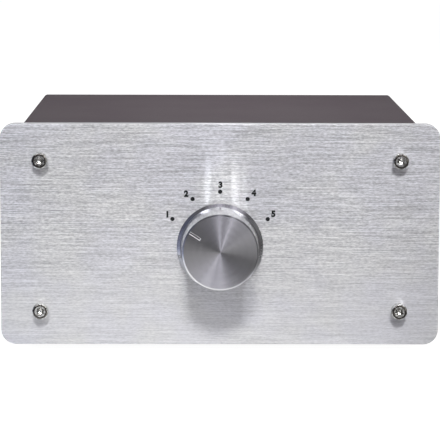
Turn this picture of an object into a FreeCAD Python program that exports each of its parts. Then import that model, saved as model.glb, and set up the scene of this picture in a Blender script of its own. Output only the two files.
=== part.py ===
import FreeCAD, Part
import math
import os
import Sketcher
from FreeCAD import Placement, Rotation, Vector

# An audio source selector: a small steel case behind a thick brushed plate.
# One knob turns a rotary switch, which joins one of five stereo inputs to the output.
# Millimetres. +Z is up, the front faces -Y, and +X is to the right seen from the front.
# The origin is on the table, below the middle of the whole object.

DIMENSIONS = {
    # The front plate. plate_front is how far its front face lies ahead of the origin.
    "plate_front": 64.5,
    "plate_wide": 150,
    "plate_tall": 76,
    "plate_thick": 4,
    "plate_low": 2.5,
    "plate_corner": 5,
    "plate_edge": 0.35,
    "plate_screw_aside": 61.5,
    "plate_screw_low": 14.2,
    "plate_screw_high": 66,
    # The steel case: a folded tray and an inverted U that covers it.
    "case_wide": 136.4,
    "case_low": 3,
    "case_tall": 75,
    "case_deep": 130,
    "cover_thick": 1,
    "cover_bend": 1.5,
    "tray_thick": 1.2,
    "tray_bend": 1.6,
    "tray_gap": 0.1,
    "lip_tall": 9.8,
    "cover_screw_high": 9,
    "side_screw_front": 26,
    "side_screw_rear": 112,
    # The feet.
    "foot_aside": 54,
    "foot_wide": 12,
    "foot_sole": 10.4,
    "foot_recess": 6.6,
    "foot_recess_deep": 2.3,
    # M3 screws and nuts.
    "screw_wide": 3,
    "screw_way": 3.4,
    "thread_way": 3.06,
    "cap_wide": 5.5,
    "cap_tall": 3,
    "cap_edge": 0.7,
    "cap_key": 2.5,
    "cap_key_deep": 1.6,
    "plate_screw_long": 12,
    "pan_wide": 5.6,
    "pan_tall": 1.9,
    "pan_edge": 0.7,
    "cross_long": 3.2,
    "cross_wide": 0.7,
    "cross_deep": 1,
    "side_screw_long": 5,
    "foot_screw_long": 7,
    "nut_flats": 5.5,
    "nut_tall": 2.4,
    # The knob, whose measures ahead of the plate count as negative depths.
    "axis_high": 36.5,
    "knob_gap": 0.6,
    "knob_reach": 15.5,
    "knob_skirt": 29.5,
    "knob_skirt_edge": 0.5,
    "knob_skirt_bevel": 1.05,
    "knob_front": 25.76,
    "knob_bevel": 0.5,
    "knob_bevel_deep": 0.45,
    "knob_hollow": 20,
    "knob_hollow_deep": 6,
    "knob_bore": 6.06,
    "knob_bore_deep": 13.2,
    "pointer_slip": 3,
    "pointer_wide": 0.75,
    "pointer_deep": 0.4,
    "pointer_inner": 8.1,
    "pointer_outer": 12.1,
    "grub_wide": 4,
    "grub_way": 4.06,
    "grub_at": 9.5,
    "grub_inner": 2.55,
    "grub_outer": 9,
    "grub_key": 2,
    "grub_key_deep": 2.2,
    # The rotary switch: shaft, bushing and detent.
    "shaft_wide": 6,
    "shaft_reach": 13,
    "shaft_flat": 2.5,
    "shaft_flat_to": 3,
    "shaft_groove": 4.8,
    "clip_front": 7,
    "clip_rear": 7.7,
    "clip_wide": 10,
    "clip_mouth": 3.6,
    "shaft_round_to": 12.3,
    "blade_wide": 4,
    "blade_thick": 1.6,
    "blade_way": 0.03,
    "shaft_end": 33.4,
    "bush_wide": 9,
    "bush_reach": 4.8,
    "bush_lead": 0.5,
    "bush_spigot": 7.6,
    "bush_bore": 6.08,
    "bush_way": 9.4,
    "thread_slack": 0.04,
    "frame_thick": 1.6,
    "frame_wide": 40,
    "frame_tall": 26,
    "frame_corner": 3,
    "tab_wide": 3,
    "tab_tall": 1.1,
    "tab_low": 11.4,
    "tab_slack": 0.2,
    "ear_inner": 10.5,
    "ear_outer": 14,
    "ear_low": 11.4,
    "ear_thick": 1,
    "ear_deep": 5.2,
    "lock_wide": 13,
    "lock_thick": 0.5,
    "lock_tooth": 0.5,
    "bush_nut_flats": 12,
    "bush_nut_thick": 2,
    "wheel_front": 9.4,
    "wheel_thick": 2.4,
    "wheel_wide": 18,
    "wheel_step": 30,
    "notch_half": 1.6,
    "notch_floor": 7.9,
    "lug_front": 8,
    "lug_inner": 6.4,
    "lug_outer": 8,
    "lug_half": 8,
    "stop_slack": 0.5,
    "stop_thick": 0.8,
    "stop_inner": 5.4,
    "stop_outer": 9,
    "stop_tab_half": 6,
    "stop_tab_rear": 9,
    "spring_thick": 0.4,
    "spring_wide": 2.4,
    "spring_low": 9.7,
    "spring_nose": 8.3,
    "spring_nose_half": 1.3,
    "rivet_wide": 1.6,
    "rivet_head": 2.8,
    "rivet_head_tall": 0.5,
    "travel": 120,
    # The two wafer decks of the switch.
    "left_deck": 18,
    "right_deck": 30,
    "wafer_thick": 1.5,
    "wafer_wide": 34,
    "wafer_hole": 16.4,
    "wafer_ear_out": 20.4,
    "wafer_ear_half": 4,
    "stud_aside": 16.5,
    "stud_end": 35,
    "spacer_wide": 5.5,
    "rotor_wide": 15.8,
    "rotor_proud": 0.1,
    "wiper_thick": 0.4,
    "wiper_inner": 3.4,
    "wiper_ring": 7.2,
    "wiper_reach": 9.5,
    "wiper_wide": 2.2,
    "jaw_gap": 0.1,
    "jaw_inner": 8.7,
    "common_inner": 6.4,
    "strip_inner": 9.9,
    "jaw_outer": 11,
    "strip_thick": 0.5,
    "strip_wide": 2.4,
    "strip_rivet_at": 13.5,
    "left_lug": 23,
    "right_lug": 19,
    "lug_eye": 1.3,
    "lug_eye_in": 1.3,
    # The phono sockets on the rear panel. Their own measures start at its outer face.
    "socket_pitch": 19,
    "left_row": 56,
    "right_row": 35,
    "socket_reach": 10.5,
    "socket_hole": 10,
    "washer_bore": 8.1,
    "washer_wide": 12,
    "washer_thick": 1.2,
    "washer_spigot": 9.8,
    "shell_flange": 11.2,
    "shell_flange_thick": 1.2,
    "shell_barrel": 8.3,
    "shell_edge": 0.4,
    "shell_thread": 8,
    "shell_thread_end": 7,
    "shell_bore": 6.6,
    "core_wide": 6.54,
    "core_sunk": 0.5,
    "core_end": 8,
    "core_lip": 3.6,
    "core_lead": 4.8,
    "pin_way": 3.3,
    "contact_wide": 4.2,
    "contact_slack": 0.04,
    "contact_mouth": 8.8,
    "contact_floor": 0.4,
    "tail_wide": 2.2,
    "cup_wide": 2.8,
    "cup_bore": 1.9,
    "cup_start": 13,
    "cup_end": 15,
    "rear_washer_thick": 0.8,
    "tag_thick": 0.4,
    "tag_reach": 10,
    "tag_wide": 3,
    "tag_eye": 1.2,
    "tag_eye_at": 8.6,
    "socket_nut_flats": 11,
    "socket_nut_thick": 2.4,
    # The wires inside the case.
    "wire_wide": 1.6,
    "wire_butt": 0.05,
    "left_wire_back": 42,
    "left_wire_home": 84,
    "right_wire_back": 56,
    "right_wire_home": 96,
    "bus_wide": 0.9,
    "bus_aside": 50.5,
    "bus_turn": 57,
    "bus_bend": 5,
}

INPUTS = 5
COLUMNS = INPUTS + 1
SLIVER = 1e-6

doc = FreeCAD.newDocument("source_selector")
sheet = doc.addObject("Spreadsheet::Sheet", "dims")
for row, (alias, value) in enumerate(DIMENSIONS.items(), start=1):
    sheet.set(f"A{row}", alias)
    sheet.set(f"B{row}", str(value))
    sheet.setAlias(f"B{row}", alias)
doc.recompute()

nodes = []

# Depths along Y are written as depths behind the plate's front face.
PLATE_BACK = "dims.plate_thick"
WALL_BACK = "dims.plate_thick + dims.tray_thick"
FRAME_BACK = "dims.plate_thick + dims.tray_thick + dims.frame_thick"
PANEL = "dims.plate_thick + dims.case_deep"
CASE_TOP = "dims.case_low + dims.case_tall"
FLOOR_TOP = "dims.case_low + dims.tray_thick"
TRAY_HALF = "dims.case_wide / 2 - dims.cover_thick - dims.tray_gap"
WHEEL_MIDDLE = "dims.wheel_front + dims.wheel_thick / 2"

# Angles run clockwise from 12 o'clock, seen from the front. At rest the wheel's lug
# lies opposite the first position's mark, and it sweeps the same travel as the knob.
POINTER_TURN = "dims.pointer_slip - dims.travel / 2"
LUG_AT = "180 - dims.travel / 2"
FIRST_STOP_AT = "180 - dims.travel / 2 - dims.lug_half - dims.stop_slack - dims.stop_tab_half"
LAST_STOP_AT = "180 + dims.travel / 2 + dims.lug_half + dims.stop_slack + dims.stop_tab_half"


# Small helpers for sketches, features and copies.

def measure(expression):
    """The value of an expression in the sheet's aliases."""
    return float(sheet.evalExpression(str(expression)))


def about_y(expression):
    """A turn by an angle, seen clockwise from the front."""
    return Rotation(Vector(0, 1, 0), measure(expression))


LEVEL = Rotation()
UPWARD = Rotation(Vector(1, 0, 0), 90)


def keep(thing, label):
    """Make a finished object one of the sub-parts."""
    thing.Label = label
    nodes.append(thing)
    return thing


def place(thing, x="0", depth="0", z="0"):
    """Set a thing down at x and z, at a depth behind the plate's front face."""
    thing.setExpression("Placement.Base.x", x)
    thing.setExpression("Placement.Base.y", f"{depth} - dims.plate_front")
    thing.setExpression("Placement.Base.z", z)


def new_body(name, z="0", rotation=None):
    """A body measured in depths behind the plate's front, lifted by z and turned there."""
    body = doc.addObject("PartDesign::Body", name)
    body.Placement = Placement(Vector(), rotation or LEVEL)
    place(body, z=z)
    return body


def on_plane(body, name, role, offset=None):
    """A sketch on one of the body's own origin planes, moved along the plane's normal."""
    sketch = body.newObject("Sketcher::SketchObject", name)
    plane = [part for part in body.Origin.OriginFeatures if part.Role == role][0]
    sketch.AttachmentSupport = [(plane, "")]
    sketch.MapMode = "FlatFace"
    if offset is not None:
        sketch.setExpression("AttachmentOffset.Base.z", offset)
    return sketch


def outline(sketch, points):
    """A closed outline of straight lines whose corners are bound to the sheet."""
    corners = [(measure(across), measure(up)) for across, up in points]
    first = sketch.GeometryCount
    count = len(corners)
    for at, corner in enumerate(corners):
        ahead = corners[(at + 1) % count]
        sketch.addGeometry(Part.LineSegment(Vector(*corner, 0), Vector(*ahead, 0)), False)
    for at in range(count):
        ahead = first + (at + 1) % count
        sketch.addConstraint(Sketcher.Constraint("Coincident", first + at, 2, ahead, 1))
    for at, (across, up) in enumerate(points):
        bind = Sketcher.Constraint("DistanceX", -1, 1, first + at, 1, corners[at][0])
        sketch.setExpression(f"Constraints[{sketch.addConstraint(bind)}]", across)
        bind = Sketcher.Constraint("DistanceY", -1, 1, first + at, 1, corners[at][1])
        sketch.setExpression(f"Constraints[{sketch.addConstraint(bind)}]", up)


def rectangle(sketch, left, low, right, high):
    outline(sketch, [(left, low), (right, low), (right, high), (left, high)])


def circle(sketch, across, up, wide):
    """A circle of diameter wide, bound to the sheet."""
    centre = Vector(measure(across), measure(up), 0)
    radius = measure(wide) / 2
    at = sketch.addGeometry(Part.Circle(centre, Vector(0, 0, 1), radius), False)
    bind = Sketcher.Constraint("Radius", at, radius)
    sketch.setExpression(f"Constraints[{sketch.addConstraint(bind)}]", f"({wide}) / 2")
    bind = Sketcher.Constraint("DistanceX", -1, 1, at, 3, centre.x)
    sketch.setExpression(f"Constraints[{sketch.addConstraint(bind)}]", across)
    bind = Sketcher.Constraint("DistanceY", -1, 1, at, 3, centre.y)
    sketch.setExpression(f"Constraints[{sketch.addConstraint(bind)}]", up)


def hexagon(sketch, flats):
    """A hexagon about the origin, flats wide across its upright sides."""
    side = f"({flats}) / sqrt(3)"
    half = f"({flats}) / 2"
    outline(sketch, [
        (half, f"-{side} / 2"),
        (half, f"{side} / 2"),
        ("0", side),
        (f"-{half}", f"{side} / 2"),
        (f"-{half}", f"-{side} / 2"),
        ("0", f"-{side}"),
    ])


def pad(body, sketch, length, middle=False, other_way=False):
    feature = body.newObject("PartDesign::Pad", f"{sketch.Name}_pad")
    feature.Profile = sketch
    feature.Midplane = middle
    feature.Reversed = other_way
    feature.setExpression("Length", length)
    doc.recompute()
    return feature


def pocket(body, sketch, length, middle=False, other_way=False):
    """Cut the sketch's shape out, and make sure that something was cut."""
    before = body.Shape.Volume
    feature = body.newObject("PartDesign::Pocket", f"{sketch.Name}_pocket")
    feature.Profile = sketch
    feature.Midplane = middle
    feature.Reversed = other_way
    feature.setExpression("Length", length)
    doc.recompute()
    if not body.Shape.Volume < before - SLIVER:
        raise ValueError(f"{feature.Name} cuts nothing")
    return feature


def turn(body, sketch):
    """Turn the sketch's outline about its own across axis."""
    feature = body.newObject("PartDesign::Revolution", f"{sketch.Name}_turned")
    feature.Profile = sketch
    feature.ReferenceAxis = (sketch, ["H_Axis"])
    feature.Angle = 360
    doc.recompute()


def turned(name, points, rotation=None):
    """A body turned about the knob's axis from (depth, radius) corners."""
    body = new_body(name, "dims.axis_high", rotation)
    profile = on_plane(body, f"{name}_profile", "YZ_Plane")
    outline(profile, points)
    turn(body, profile)
    return body


def soften(body, name, wanted, radius):
    """Round the edges that the test picks."""
    tip = body.Tip
    picked = [f"Edge{at}" for at, edge in enumerate(tip.Shape.Edges, start=1) if wanted(edge)]
    feature = body.newObject("PartDesign::Fillet", name)
    feature.Base = (tip, picked)
    feature.setExpression("Radius", radius)
    doc.recompute()


def runs_along(edge, axis):
    """Whether an edge is a straight line along the axis numbered 0, 1 or 2."""
    if not isinstance(edge.Curve, Part.Line):
        return False
    direction = edge.Curve.Direction
    return abs(abs(direction[axis]) - 1) < SLIVER


def lies_at(edge, axis, value):
    """Whether a whole edge lies in the plane where one coordinate has this value."""
    box = edge.BoundBox
    low = (box.XMin, box.YMin, box.ZMin)[axis]
    high = (box.XMax, box.YMax, box.ZMax)[axis]
    return abs(low - value) < 1e-4 and abs(high - value) < 1e-4


def group(label, form, spots):
    """Copies of one body as separate solids, each at (x, depth, z) with a turn."""
    links = []
    for number, (x, depth, z, rotation) in enumerate(spots, start=1):
        link = doc.addObject("App::Link", f"{label}_{number}")
        link.LinkedObject = form
        link.LinkTransform = False
        link.Placement = Placement(Vector(), rotation)
        place(link, x, depth, z)
        links.append(link)
    compound = doc.addObject("Part::Compound", label)
    compound.Links = links
    return keep(compound, label)


# The front plate: thick brushed aluminium, with four screw holes and the bushing's hole.

def make_front_plate():
    body = new_body("front_plate")
    face = on_plane(body, "plate_face", "XZ_Plane", f"-({PLATE_BACK})")
    rectangle(face, "-dims.plate_wide / 2", "dims.plate_low",
              "dims.plate_wide / 2", "dims.plate_low + dims.plate_tall")
    pad(body, face, "dims.plate_thick")
    soften(body, "plate_corners", lambda edge: runs_along(edge, 1), "dims.plate_corner")
    soften(body, "plate_front_edge", lambda edge: lies_at(edge, 1, 0), "dims.plate_edge")
    holes = on_plane(body, "plate_holes", "XZ_Plane")
    for aside in ("-dims.plate_screw_aside", "dims.plate_screw_aside"):
        for high in ("dims.plate_screw_low", "dims.plate_screw_high"):
            circle(holes, aside, high, "dims.screw_way")
    circle(holes, "0", "dims.axis_high", "dims.bush_way")
    pocket(body, holes, PLATE_BACK)
    return keep(body, "front_plate")


# The case: a folded tray with both end walls, and the cover that closes it.

def make_chassis_tray():
    body = new_body("chassis_tray")
    top = f"{CASE_TOP} - dims.cover_thick - 2 * dims.tray_gap"
    fold = on_plane(body, "tray_fold", "YZ_Plane")
    outline(fold, [
        (PLATE_BACK, top),
        (PLATE_BACK, "dims.case_low"),
        (PANEL, "dims.case_low"),
        (PANEL, top),
        (f"{PANEL} - dims.tray_thick", top),
        (f"{PANEL} - dims.tray_thick", FLOOR_TOP),
        (WALL_BACK, FLOOR_TOP),
        (WALL_BACK, top),
    ])
    pad(body, fold, f"2 * ({TRAY_HALF})", middle=True)
    soften(body, "tray_outer_bends",
           lambda edge: runs_along(edge, 0) and lies_at(edge, 2, measure("dims.case_low")),
           "dims.tray_bend")
    soften(body, "tray_inner_bends",
           lambda edge: runs_along(edge, 0) and lies_at(edge, 2, measure(FLOOR_TOP)),
           "dims.tray_bend - dims.tray_thick")
    lips = on_plane(body, "tray_lips", "XZ_Plane", f"-({WALL_BACK} + dims.tray_thick)")
    lip_top = f"{FLOOR_TOP} + dims.lip_tall"
    rectangle(lips, f"{TRAY_HALF} - dims.tray_thick", "dims.case_low", TRAY_HALF, lip_top)
    rectangle(lips, f"-({TRAY_HALF})", "dims.case_low",
              f"-({TRAY_HALF} - dims.tray_thick)", lip_top)
    pad(body, lips, "dims.case_deep - 4 * dims.tray_thick", other_way=True)

    front = on_plane(body, "tray_front_holes", "XZ_Plane", f"-({PLATE_BACK})")
    for aside in ("-dims.plate_screw_aside", "dims.plate_screw_aside"):
        for high in ("dims.plate_screw_low", "dims.plate_screw_high"):
            circle(front, aside, high, "dims.screw_way")
    circle(front, "0", "dims.axis_high", "dims.bush_way")
    tab_half = "dims.tab_wide / 2 + dims.tab_slack"
    rectangle(front, f"-({tab_half})", "dims.axis_high - dims.tab_low - dims.tab_tall - dims.tab_slack",
              tab_half, "dims.axis_high - dims.tab_low + dims.tab_slack")
    pocket(body, front, "dims.tray_thick")

    rear = on_plane(body, "tray_rear_holes", "XZ_Plane", f"-({PANEL} - dims.tray_thick)")
    for column in range(COLUMNS):
        for high in ("dims.left_row", "dims.right_row"):
            circle(rear, column_at(column), high, "dims.socket_hole")
    pocket(body, rear, "dims.tray_thick")

    bottom = on_plane(body, "tray_bottom_holes", "XY_Plane", "dims.case_low")
    for aside in ("-dims.foot_aside", "dims.foot_aside"):
        for depth in ("dims.side_screw_front", "dims.side_screw_rear"):
            circle(bottom, aside, depth, "dims.screw_way")
    pocket(body, bottom, "dims.tray_thick", other_way=True)

    sides = on_plane(body, "tray_side_holes", "YZ_Plane")
    for depth in ("dims.side_screw_front", "dims.side_screw_rear"):
        circle(sides, depth, "dims.cover_screw_high", "dims.thread_way")
    pocket(body, sides, "dims.case_wide", middle=True)
    return keep(body, "chassis_tray")


def make_top_cover():
    body = new_body("top_cover")
    half = "dims.case_wide / 2"
    inner = f"{half} - dims.cover_thick"
    fold = on_plane(body, "cover_fold", "XZ_Plane", f"-({PANEL})")
    outline(fold, [
        (f"-({half})", "dims.case_low"),
        (f"-({inner})", "dims.case_low"),
        (f"-({inner})", f"{CASE_TOP} - dims.cover_thick"),
        (inner, f"{CASE_TOP} - dims.cover_thick"),
        (inner, "dims.case_low"),
        (half, "dims.case_low"),
        (half, CASE_TOP),
        (f"-({half})", CASE_TOP),
    ])
    pad(body, fold, "dims.case_deep")
    soften(body, "cover_outer_bends",
           lambda edge: runs_along(edge, 1) and lies_at(edge, 2, measure(CASE_TOP)),
           "dims.cover_bend")
    ceiling = measure(f"{CASE_TOP} - dims.cover_thick")
    soften(body, "cover_inner_bends",
           lambda edge: runs_along(edge, 1) and lies_at(edge, 2, ceiling),
           "dims.cover_bend - dims.cover_thick")
    sides = on_plane(body, "cover_side_holes", "YZ_Plane")
    for depth in ("dims.side_screw_front", "dims.side_screw_rear"):
        circle(sides, depth, "dims.cover_screw_high", "dims.screw_way")
    pocket(body, sides, "2 * dims.case_wide", middle=True)
    return keep(body, "top_cover")


# Screws, nuts and feet. Each screw's form stands along its own Y axis, with the
# underside of its head at 0 and its shank towards +Y.

def screw_form(name, head_wide, head_tall, shank_long, edge):
    body = doc.addObject("PartDesign::Body", name)
    profile = on_plane(body, f"{name}_profile", "YZ_Plane")
    outline(profile, [
        (f"-({head_tall})", "0"),
        (shank_long, "0"),
        (shank_long, "dims.screw_wide / 2"),
        ("0", "dims.screw_wide / 2"),
        ("0", f"({head_wide}) / 2"),
        (f"-({head_tall})", f"({head_wide}) / 2"),
    ])
    turn(body, profile)
    top = -measure(head_tall)
    soften(body, f"{name}_edge", lambda rim: lies_at(rim, 1, top), edge)
    return body


def cap_screw_form():
    """A socket cap screw with its hexagon key recess."""
    body = screw_form("cap_screw_form", "dims.cap_wide", "dims.cap_tall",
                      "dims.plate_screw_long", "dims.cap_edge")
    key = on_plane(body, "cap_key", "XZ_Plane", "dims.cap_tall")
    hexagon(key, "dims.cap_key")
    pocket(body, key, "dims.cap_key_deep")
    return body


def pan_screw_form(name, shank_long):
    """A low pan-head screw with a cross recess."""
    body = screw_form(name, "dims.pan_wide", "dims.pan_tall", shank_long, "dims.pan_edge")
    arm = "dims.cross_long / 2"
    side = "dims.cross_wide / 2"
    cross = on_plane(body, f"{name}_cross", "XZ_Plane", "dims.pan_tall")
    outline(cross, [
        (f"-{arm}", f"-{side}"), (f"-{side}", f"-{side}"), (f"-{side}", f"-{arm}"),
        (side, f"-{arm}"), (side, f"-{side}"), (arm, f"-{side}"),
        (arm, side), (side, side), (side, arm),
        (f"-{side}", arm), (f"-{side}", side), (f"-{arm}", side),
    ])
    pocket(body, cross, "dims.cross_deep")
    return body


def nut_form(name, flats, thick, bore):
    """A hexagon nut along its own Y axis, from 0 to its thickness."""
    body = doc.addObject("PartDesign::Body", name)
    face = on_plane(body, f"{name}_face", "XZ_Plane")
    hexagon(face, flats)
    circle(face, "0", "0", bore)
    pad(body, face, thick, other_way=True)
    return body


def make_fasteners():
    corners = [(aside, high)
               for aside in ("-dims.plate_screw_aside", "dims.plate_screw_aside")
               for high in ("dims.plate_screw_low", "dims.plate_screw_high")]
    group("front_plate_screws", cap_screw_form(),
          [(x, "0", z, LEVEL) for x, z in corners])
    nut = nut_form("small_nut_form", "dims.nut_flats", "dims.nut_tall", "dims.thread_way")
    group("front_plate_nuts", nut, [(x, WALL_BACK, z, LEVEL) for x, z in corners])

    side_screw = pan_screw_form("side_screw_form", "dims.side_screw_long")
    spots = []
    for depth in ("dims.side_screw_front", "dims.side_screw_rear"):
        spots.append(("-dims.case_wide / 2", depth, "dims.cover_screw_high",
                      Rotation(Vector(0, 0, 1), -90)))
        spots.append(("dims.case_wide / 2", depth, "dims.cover_screw_high",
                      Rotation(Vector(0, 0, 1), 90)))
    group("cover_screws", side_screw, spots)

    places = [(x, depth)
              for x in ("-dims.foot_aside", "dims.foot_aside")
              for depth in ("dims.side_screw_front", "dims.side_screw_rear")]
    foot_screw = pan_screw_form("foot_screw_form", "dims.foot_screw_long")
    group("foot_screws", foot_screw,
          [(x, depth, "dims.foot_recess_deep", UPWARD) for x, depth in places])
    group("foot_nuts", nut, [(x, depth, FLOOR_TOP, UPWARD) for x, depth in places])
    return nut


def make_feet():
    """Four moulded feet, a little narrower at the sole, each with a sunk screw."""
    body = doc.addObject("PartDesign::Body", "foot_form")
    profile = on_plane(body, "foot_profile", "YZ_Plane")
    outline(profile, [
        ("0", "dims.foot_recess / 2"),
        ("0", "dims.foot_sole / 2"),
        ("dims.case_low", "dims.foot_wide / 2"),
        ("dims.case_low", "dims.screw_way / 2"),
        ("dims.foot_recess_deep", "dims.screw_way / 2"),
        ("dims.foot_recess_deep", "dims.foot_recess / 2"),
    ])
    turn(body, profile)
    spots = [(x, depth, "0", UPWARD)
             for x in ("-dims.foot_aside", "dims.foot_aside")
             for depth in ("dims.side_screw_front", "dims.side_screw_rear")]
    group("rubber_feet", body, spots)


# The knob: turned aluminium with a bevelled skirt, a bevelled front and a milled pointer.

def make_knob():
    body = turned("control_knob", [
        ("-dims.knob_gap", "dims.knob_hollow / 2"),
        ("-dims.knob_gap", "dims.knob_skirt / 2"),
        ("-dims.knob_gap - dims.knob_skirt_edge", "dims.knob_skirt / 2"),
        ("-dims.knob_gap - dims.knob_skirt_edge - dims.knob_skirt_bevel",
         "dims.knob_skirt / 2 - dims.knob_skirt_bevel"),
        ("-dims.knob_reach + dims.knob_bevel_deep", "dims.knob_front / 2"),
        ("-dims.knob_reach", "dims.knob_front / 2 - dims.knob_bevel"),
        ("-dims.knob_reach", "0"),
        ("-dims.knob_bore_deep", "0"),
        ("-dims.knob_bore_deep", "dims.knob_bore / 2"),
        ("-dims.knob_hollow_deep", "dims.knob_bore / 2"),
        ("-dims.knob_hollow_deep", "dims.knob_hollow / 2"),
    ], about_y(POINTER_TURN))

    # Before the knob is turned to its place, the pointer is at 12 o'clock.
    pointer = on_plane(body, "pointer_slot", "XZ_Plane", "dims.knob_reach")
    rectangle(pointer, "-dims.pointer_wide / 2", "dims.pointer_inner",
              "dims.pointer_wide / 2", "dims.pointer_outer")
    pocket(body, pointer, "dims.pointer_deep")

    # The grub screw's way runs in from the side away from the pointer.
    way = on_plane(body, "grub_way", "XY_Plane")
    circle(way, "0", "-dims.grub_at", "dims.grub_way")
    pocket(body, way, "dims.knob_skirt / 2")
    return keep(body, "control_knob")


def make_knob_set_screw():
    """A grub screw across the axis, with its point on the shaft's flat."""
    body = new_body("knob_set_screw", "dims.axis_high", about_y(POINTER_TURN))
    face = on_plane(body, "grub_face", "XY_Plane", "-dims.grub_outer")
    circle(face, "0", "-dims.grub_at", "dims.grub_wide")
    pad(body, face, "dims.grub_outer - dims.grub_inner")
    key = on_plane(body, "grub_key", "XY_Plane", "-dims.grub_outer")
    circle(key, "0", "-dims.grub_at", "dims.grub_key")
    pocket(body, key, "dims.grub_key_deep", other_way=True)
    return keep(body, "knob_set_screw")


# The rotary switch's frame, bushing and shaft.

def make_bushing():
    body = turned("switch_bushing", [
        ("-dims.bush_reach", "dims.bush_bore / 2"),
        (FRAME_BACK, "dims.bush_bore / 2"),
        (FRAME_BACK, "dims.bush_spigot / 2"),
        (WALL_BACK, "dims.bush_spigot / 2"),
        (WALL_BACK, "dims.bush_wide / 2"),
        ("-dims.bush_reach + dims.bush_lead", "dims.bush_wide / 2"),
        ("-dims.bush_reach", "dims.bush_wide / 2 - dims.bush_lead"),
    ])
    return keep(body, "switch_bushing")


def make_switch_frame():
    """The plate that carries the switch, with its locating tab and two spring ears."""
    body = new_body("switch_frame", "dims.axis_high")
    face = on_plane(body, "frame_face", "XZ_Plane", f"-({FRAME_BACK})")
    rectangle(face, "-dims.frame_wide / 2", "-dims.frame_tall / 2",
              "dims.frame_wide / 2", "dims.frame_tall / 2")
    pad(body, face, "dims.frame_thick")
    soften(body, "frame_corners", lambda edge: runs_along(edge, 1), "dims.frame_corner")
    holes = on_plane(body, "frame_holes", "XZ_Plane", f"-({WALL_BACK})")
    circle(holes, "0", "0", "dims.bush_spigot + dims.thread_slack")
    for aside in ("-dims.stud_aside", "dims.stud_aside"):
        circle(holes, aside, "0", "dims.thread_way")
    pocket(body, holes, "dims.frame_thick")
    tab = on_plane(body, "frame_tab", "XZ_Plane", f"-({WALL_BACK})")
    rectangle(tab, "-dims.tab_wide / 2", "-dims.tab_low - dims.tab_tall",
              "dims.tab_wide / 2", "-dims.tab_low")
    pad(body, tab, "dims.tray_thick")
    ears = on_plane(body, "frame_ears", "XZ_Plane", f"-({FRAME_BACK})")
    rectangle(ears, "dims.ear_inner", "dims.ear_low", "dims.ear_outer", "dims.ear_low + dims.ear_thick")
    rectangle(ears, "-dims.ear_outer", "dims.ear_low", "-dims.ear_inner", "dims.ear_low + dims.ear_thick")
    pad(body, ears, "dims.ear_deep", other_way=True)
    rivet_way = on_plane(body, "ear_holes", "XY_Plane", "dims.ear_low")
    for aside in ("-(dims.ear_inner + dims.ear_outer) / 2", "(dims.ear_inner + dims.ear_outer) / 2"):
        circle(rivet_way, aside, WHEEL_MIDDLE, "dims.rivet_wide + dims.thread_slack")
    pocket(body, rivet_way, "dims.ear_thick", other_way=True)
    return keep(body, "switch_frame")


def make_front_nut():
    """The lock washer and nut on the bushing, both inside the knob's hollow."""
    washer = new_body("switch_lock_washer", "dims.axis_high")
    face = on_plane(washer, "lock_face", "XZ_Plane")
    circle(face, "0", "0", "dims.lock_wide")
    circle(face, "0", "0", "dims.bush_wide + 2 * dims.lock_tooth")
    pad(washer, face, "dims.lock_thick")
    tooth = on_plane(washer, "lock_tooth", "XZ_Plane")
    rectangle(tooth, "-dims.lock_tooth", "dims.bush_wide / 2 + dims.thread_slack",
              "dims.lock_tooth", "dims.lock_wide / 2 - dims.lock_tooth")
    first = pad(washer, tooth, "dims.lock_thick")
    ring = washer.newObject("PartDesign::PolarPattern", "lock_teeth")
    ring.Originals = [first]
    ring.Axis = (face, ["N_Axis"])
    ring.Angle = 360
    ring.Occurrences = 12
    washer.Tip = ring
    keep(washer, "switch_lock_washer")

    form = nut_form("bush_nut_form", "dims.bush_nut_flats", "dims.bush_nut_thick",
                    "dims.bush_wide + dims.thread_slack")
    group("switch_nut", form,
          [("0", "-dims.lock_thick - dims.bush_nut_thick", "dims.axis_high", LEVEL)])


def make_shaft():
    """A round shaft with a flat for the knob, a clip groove and a flat drive blade."""
    round_part = "dims.shaft_wide / 2"
    body = turned("switch_shaft", [
        ("-dims.shaft_reach", "0"),
        ("dims.shaft_end", "0"),
        ("dims.shaft_end", round_part),
        ("dims.clip_rear", round_part),
        ("dims.clip_rear", "dims.shaft_groove / 2"),
        ("dims.clip_front", "dims.shaft_groove / 2"),
        ("dims.clip_front", round_part),
        ("-dims.shaft_reach", round_part),
    ], about_y(POINTER_TURN))
    flat = on_plane(body, "shaft_flat", "XZ_Plane", "dims.shaft_reach")
    rectangle(flat, f"-{round_part} - 1", f"-{round_part} - 1", f"{round_part} + 1", "-dims.shaft_flat")
    pocket(body, flat, "dims.shaft_reach - dims.shaft_flat_to")
    blade = on_plane(body, "shaft_blade", "XZ_Plane", "-dims.shaft_round_to")
    circle(blade, "0", "0", "dims.shaft_wide + 2")
    rectangle(blade, "-dims.blade_thick / 2", "-dims.blade_wide / 2",
              "dims.blade_thick / 2", "dims.blade_wide / 2")
    pocket(body, blade, "dims.shaft_end - dims.shaft_round_to")
    return keep(body, "switch_shaft")


def make_shaft_clip():
    """The open spring clip that keeps the shaft from being pulled out."""
    body = turned("shaft_clip", [
        ("dims.clip_front + dims.thread_slack", "dims.shaft_groove / 2 + dims.thread_slack"),
        ("dims.clip_rear - dims.thread_slack", "dims.shaft_groove / 2 + dims.thread_slack"),
        ("dims.clip_rear - dims.thread_slack", "dims.clip_wide / 2"),
        ("dims.clip_front + dims.thread_slack", "dims.clip_wide / 2"),
    ])
    mouth = on_plane(body, "clip_mouth", "XZ_Plane", "-dims.clip_front")
    rectangle(mouth, "-dims.clip_mouth / 2", "0", "dims.clip_mouth / 2", "dims.clip_wide")
    pocket(body, mouth, "dims.clip_rear - dims.clip_front")
    return keep(body, "shaft_clip")


# The detent: a notched wheel, the leaf spring that drops into it, and the stops.

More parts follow.
